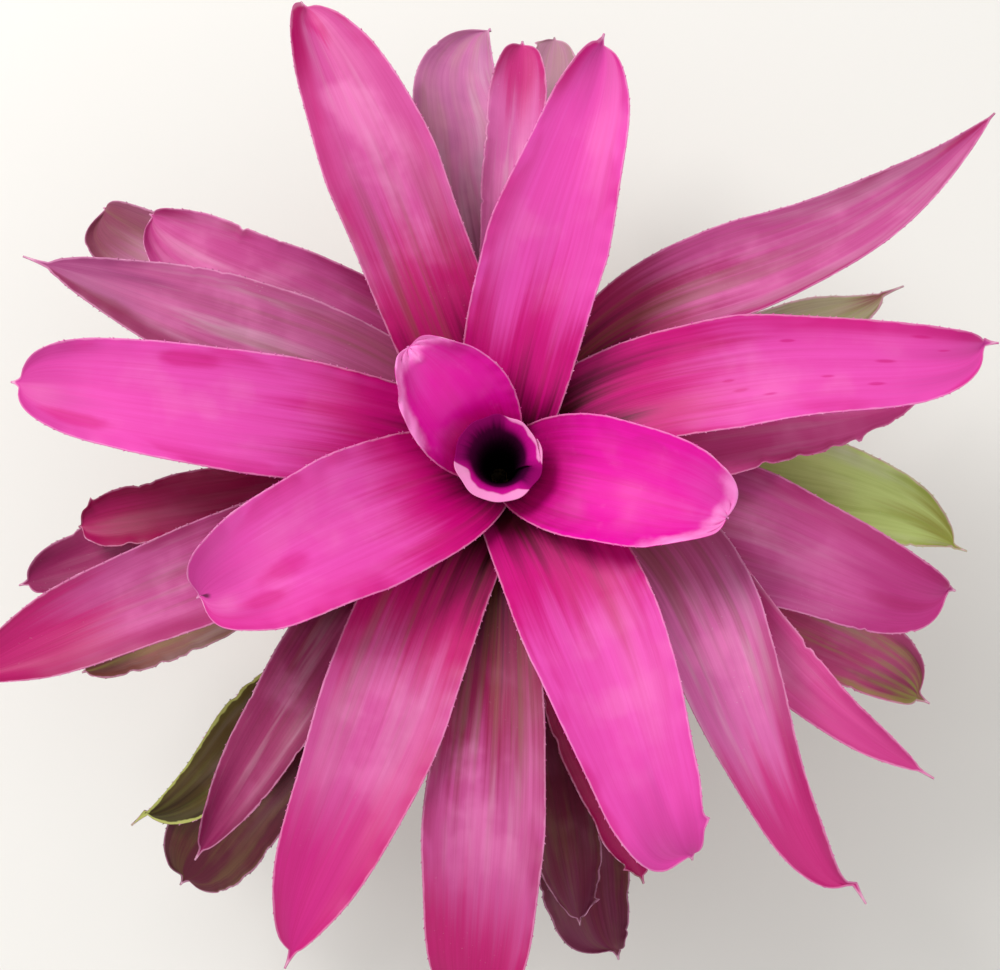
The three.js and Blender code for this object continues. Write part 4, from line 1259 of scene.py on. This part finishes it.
class OBJECT_OT_neoregelia_mix(bpy.types.Operator):
    """Make the potting mix, with bark chips and perlite on it"""

    bl_idname = "object.neoregelia_mix"
    bl_label = "Potting Mix"

    def execute(self, context):
        sizes, colours = settings_of(context)
        bm = mix_block(sizes)
        chips = chips_mesh(sizes)
        bm.from_mesh(chips)
        bpy.data.meshes.remove(chips)
        bark = bark_finish(colours)
        finishes = [mix_finish(colours), bark, bark, perlite_finish()]
        add_piece("bark_mix", bm, finishes, "potting_mix")
        return {"FINISHED"}


class OBJECT_OT_neoregelia_stem(bpy.types.Operator):
    """Make the short stem"""

    bl_idname = "object.neoregelia_stem"
    bl_label = "Stem"

    def execute(self, context):
        sizes, colours = settings_of(context)
        add_piece("short_stem", stem_body(sizes), [stem_finish(colours)], "stem")
        return {"FINISHED"}


class OBJECT_OT_neoregelia_heart(bpy.types.Operator):
    """Make the rolled leaf at the heart of the rosette"""

    bl_idname = "object.neoregelia_heart"
    bl_label = "Heart Leaf"

    def execute(self, context):
        sizes, colours = settings_of(context)
        bm = leaf_bmesh()
        spine = spine_of(LEAVES[0], 0)
        leaf_shell(LEAVES[0], 0, spine, sizes.heart_columns, sizes.heart_rows, bm)
        face = heart_finish(colours)
        finishes = [face, heart_back_finish(), face]
        add_piece("leaf_01_blade", bm, finishes, "leaf_01")
        return {"FINISHED"}


class OBJECT_OT_neoregelia_leaves(bpy.types.Operator):
    """Make the open leaves of the rosette"""

    bl_idname = "object.neoregelia_leaves"
    bl_label = "Open Leaves"

    def execute(self, context):
        sizes, colours = settings_of(context)
        for rank, leaf in enumerate(LEAVES):
            if leaf["rolled"]:
                continue
            node = f"leaf_{rank + 1:02d}"
            spine = spine_of(leaf, rank)
            bm = leaf_bmesh()
            add_teeth(bm, leaf, rank, spine, sizes)
            leaf_shell(leaf, rank, spine, sizes.columns, sizes.rows, bm)
            finishes = [finish(rank, leaf, colours) for finish in (face_finish, back_finish, edge_finish)]
            add_piece(node + "_blade", bm, finishes, node)
        return {"FINISHED"}


class OBJECT_OT_neoregelia_stage(bpy.types.Operator):
    """Set out the floor, the lights and the camera"""

    bl_idname = "object.neoregelia_stage"
    bl_label = "Stage"

    def execute(self, context):
        stage = context.scene.neoregelia_stage
        add_floor(stage, context.scene.neoregelia_colours)
        add_lights(stage)
        add_camera(stage)
        return {"FINISHED"}


def add_floor(stage, colours):
    bm = bmesh.new()
    bmesh.ops.create_grid(bm, x_segments=1, y_segments=1, size=stage.floor_size / 2)
    floor = put_in_scene("floor", mesh_of("floor", bm))
    floor.data.materials.append(floor_finish(colours))


# Where the lights stand and how large they are, in metres: a large soft key at the back left, and a weak fill
# at the front right. They point at the middle of the rosette.
LIGHTS = dict(key_light=((-1.1, 0.9, 1.7), 0.9), fill_light=((1.4, -1.0, 1.2), 1.4))
LIT = (0, 0, 0.2)


def add_area_light(name, power):
    """A square light that faces the rosette."""
    place, size = LIGHTS[name]
    light = bpy.data.lights.new(name, "AREA")
    light.size, light.energy = size, power
    lamp = put_in_scene(name, light)
    lamp.location = place
    lamp.rotation_euler = (Vector(LIT) - Vector(place)).to_track_quat("-Z", "Y").to_euler()


def add_lights(stage):
    """The key, the fill and light from all round."""
    add_area_light("key_light", stage.key_power)
    add_area_light("fill_light", stage.fill_power)
    world = bpy.data.worlds.new("studio")
    world.use_nodes = True
    background = world.node_tree.nodes["Background"]
    background.inputs["Color"].default_value = (1, 1, 1, 1)
    background.inputs["Strength"].default_value = stage.sky
    bpy.context.scene.world = world
    bpy.context.scene.view_settings.view_transform = "Standard"


def add_camera(stage):
    camera = put_in_scene("camera", bpy.data.cameras.new("camera"))
    camera.data.lens = stage.lens
    target = Vector((0, -stage.target_back, stage.target_height))
    away = Vector((0, -math.cos(stage.elevation), math.sin(stage.elevation)))
    camera.location = target + away * stage.distance
    camera.rotation_euler = (math.pi / 2 - stage.elevation, 0, 0)
    bpy.context.scene.camera = camera


class VIEW3D_PT_neoregelia(bpy.types.Panel):
    """The plant's pieces and their settings"""

    bl_label = "Neoregelia"
    bl_idname = "VIEW3D_PT_neoregelia"
    bl_space_type = "VIEW_3D"
    bl_region_type = "UI"
    bl_category = "Neoregelia"

    def draw(self, context):
        layout = self.layout
        for operator in OPERATORS:
            layout.operator(operator.bl_idname)
        for group in GROUPS:
            settings = getattr(context.scene, group)
            box = layout.box()
            for name in settings.__annotations__:
                box.prop(settings, name)


OPERATORS = (
    OBJECT_OT_neoregelia_stage,
    OBJECT_OT_neoregelia_pot,
    OBJECT_OT_neoregelia_mix,
    OBJECT_OT_neoregelia_stem,
    OBJECT_OT_neoregelia_heart,
    OBJECT_OT_neoregelia_leaves,
)
GROUPS = dict(
    neoregelia_sizes=NeoregeliaSizes, neoregelia_colours=NeoregeliaColours, neoregelia_stage=NeoregeliaStage
)


def register():
    for name, group in GROUPS.items():
        bpy.utils.register_class(group)
        setattr(bpy.types.Scene, name, PointerProperty(type=group))
    for cls in (*OPERATORS, VIEW3D_PT_neoregelia):
        bpy.utils.register_class(cls)


def unregister():
    for cls in (VIEW3D_PT_neoregelia, *reversed(OPERATORS)):
        bpy.utils.unregister_class(cls)
    for name, group in GROUPS.items():
        delattr(bpy.types.Scene, name)
        bpy.utils.unregister_class(group)


def main():
    """Makes the whole plant and its stage."""
    register()
    for operator in OPERATORS:
        section, name = operator.bl_idname.split(".")
        getattr(getattr(bpy.ops, section), name)()


if __name__ == "__main__":
    main()
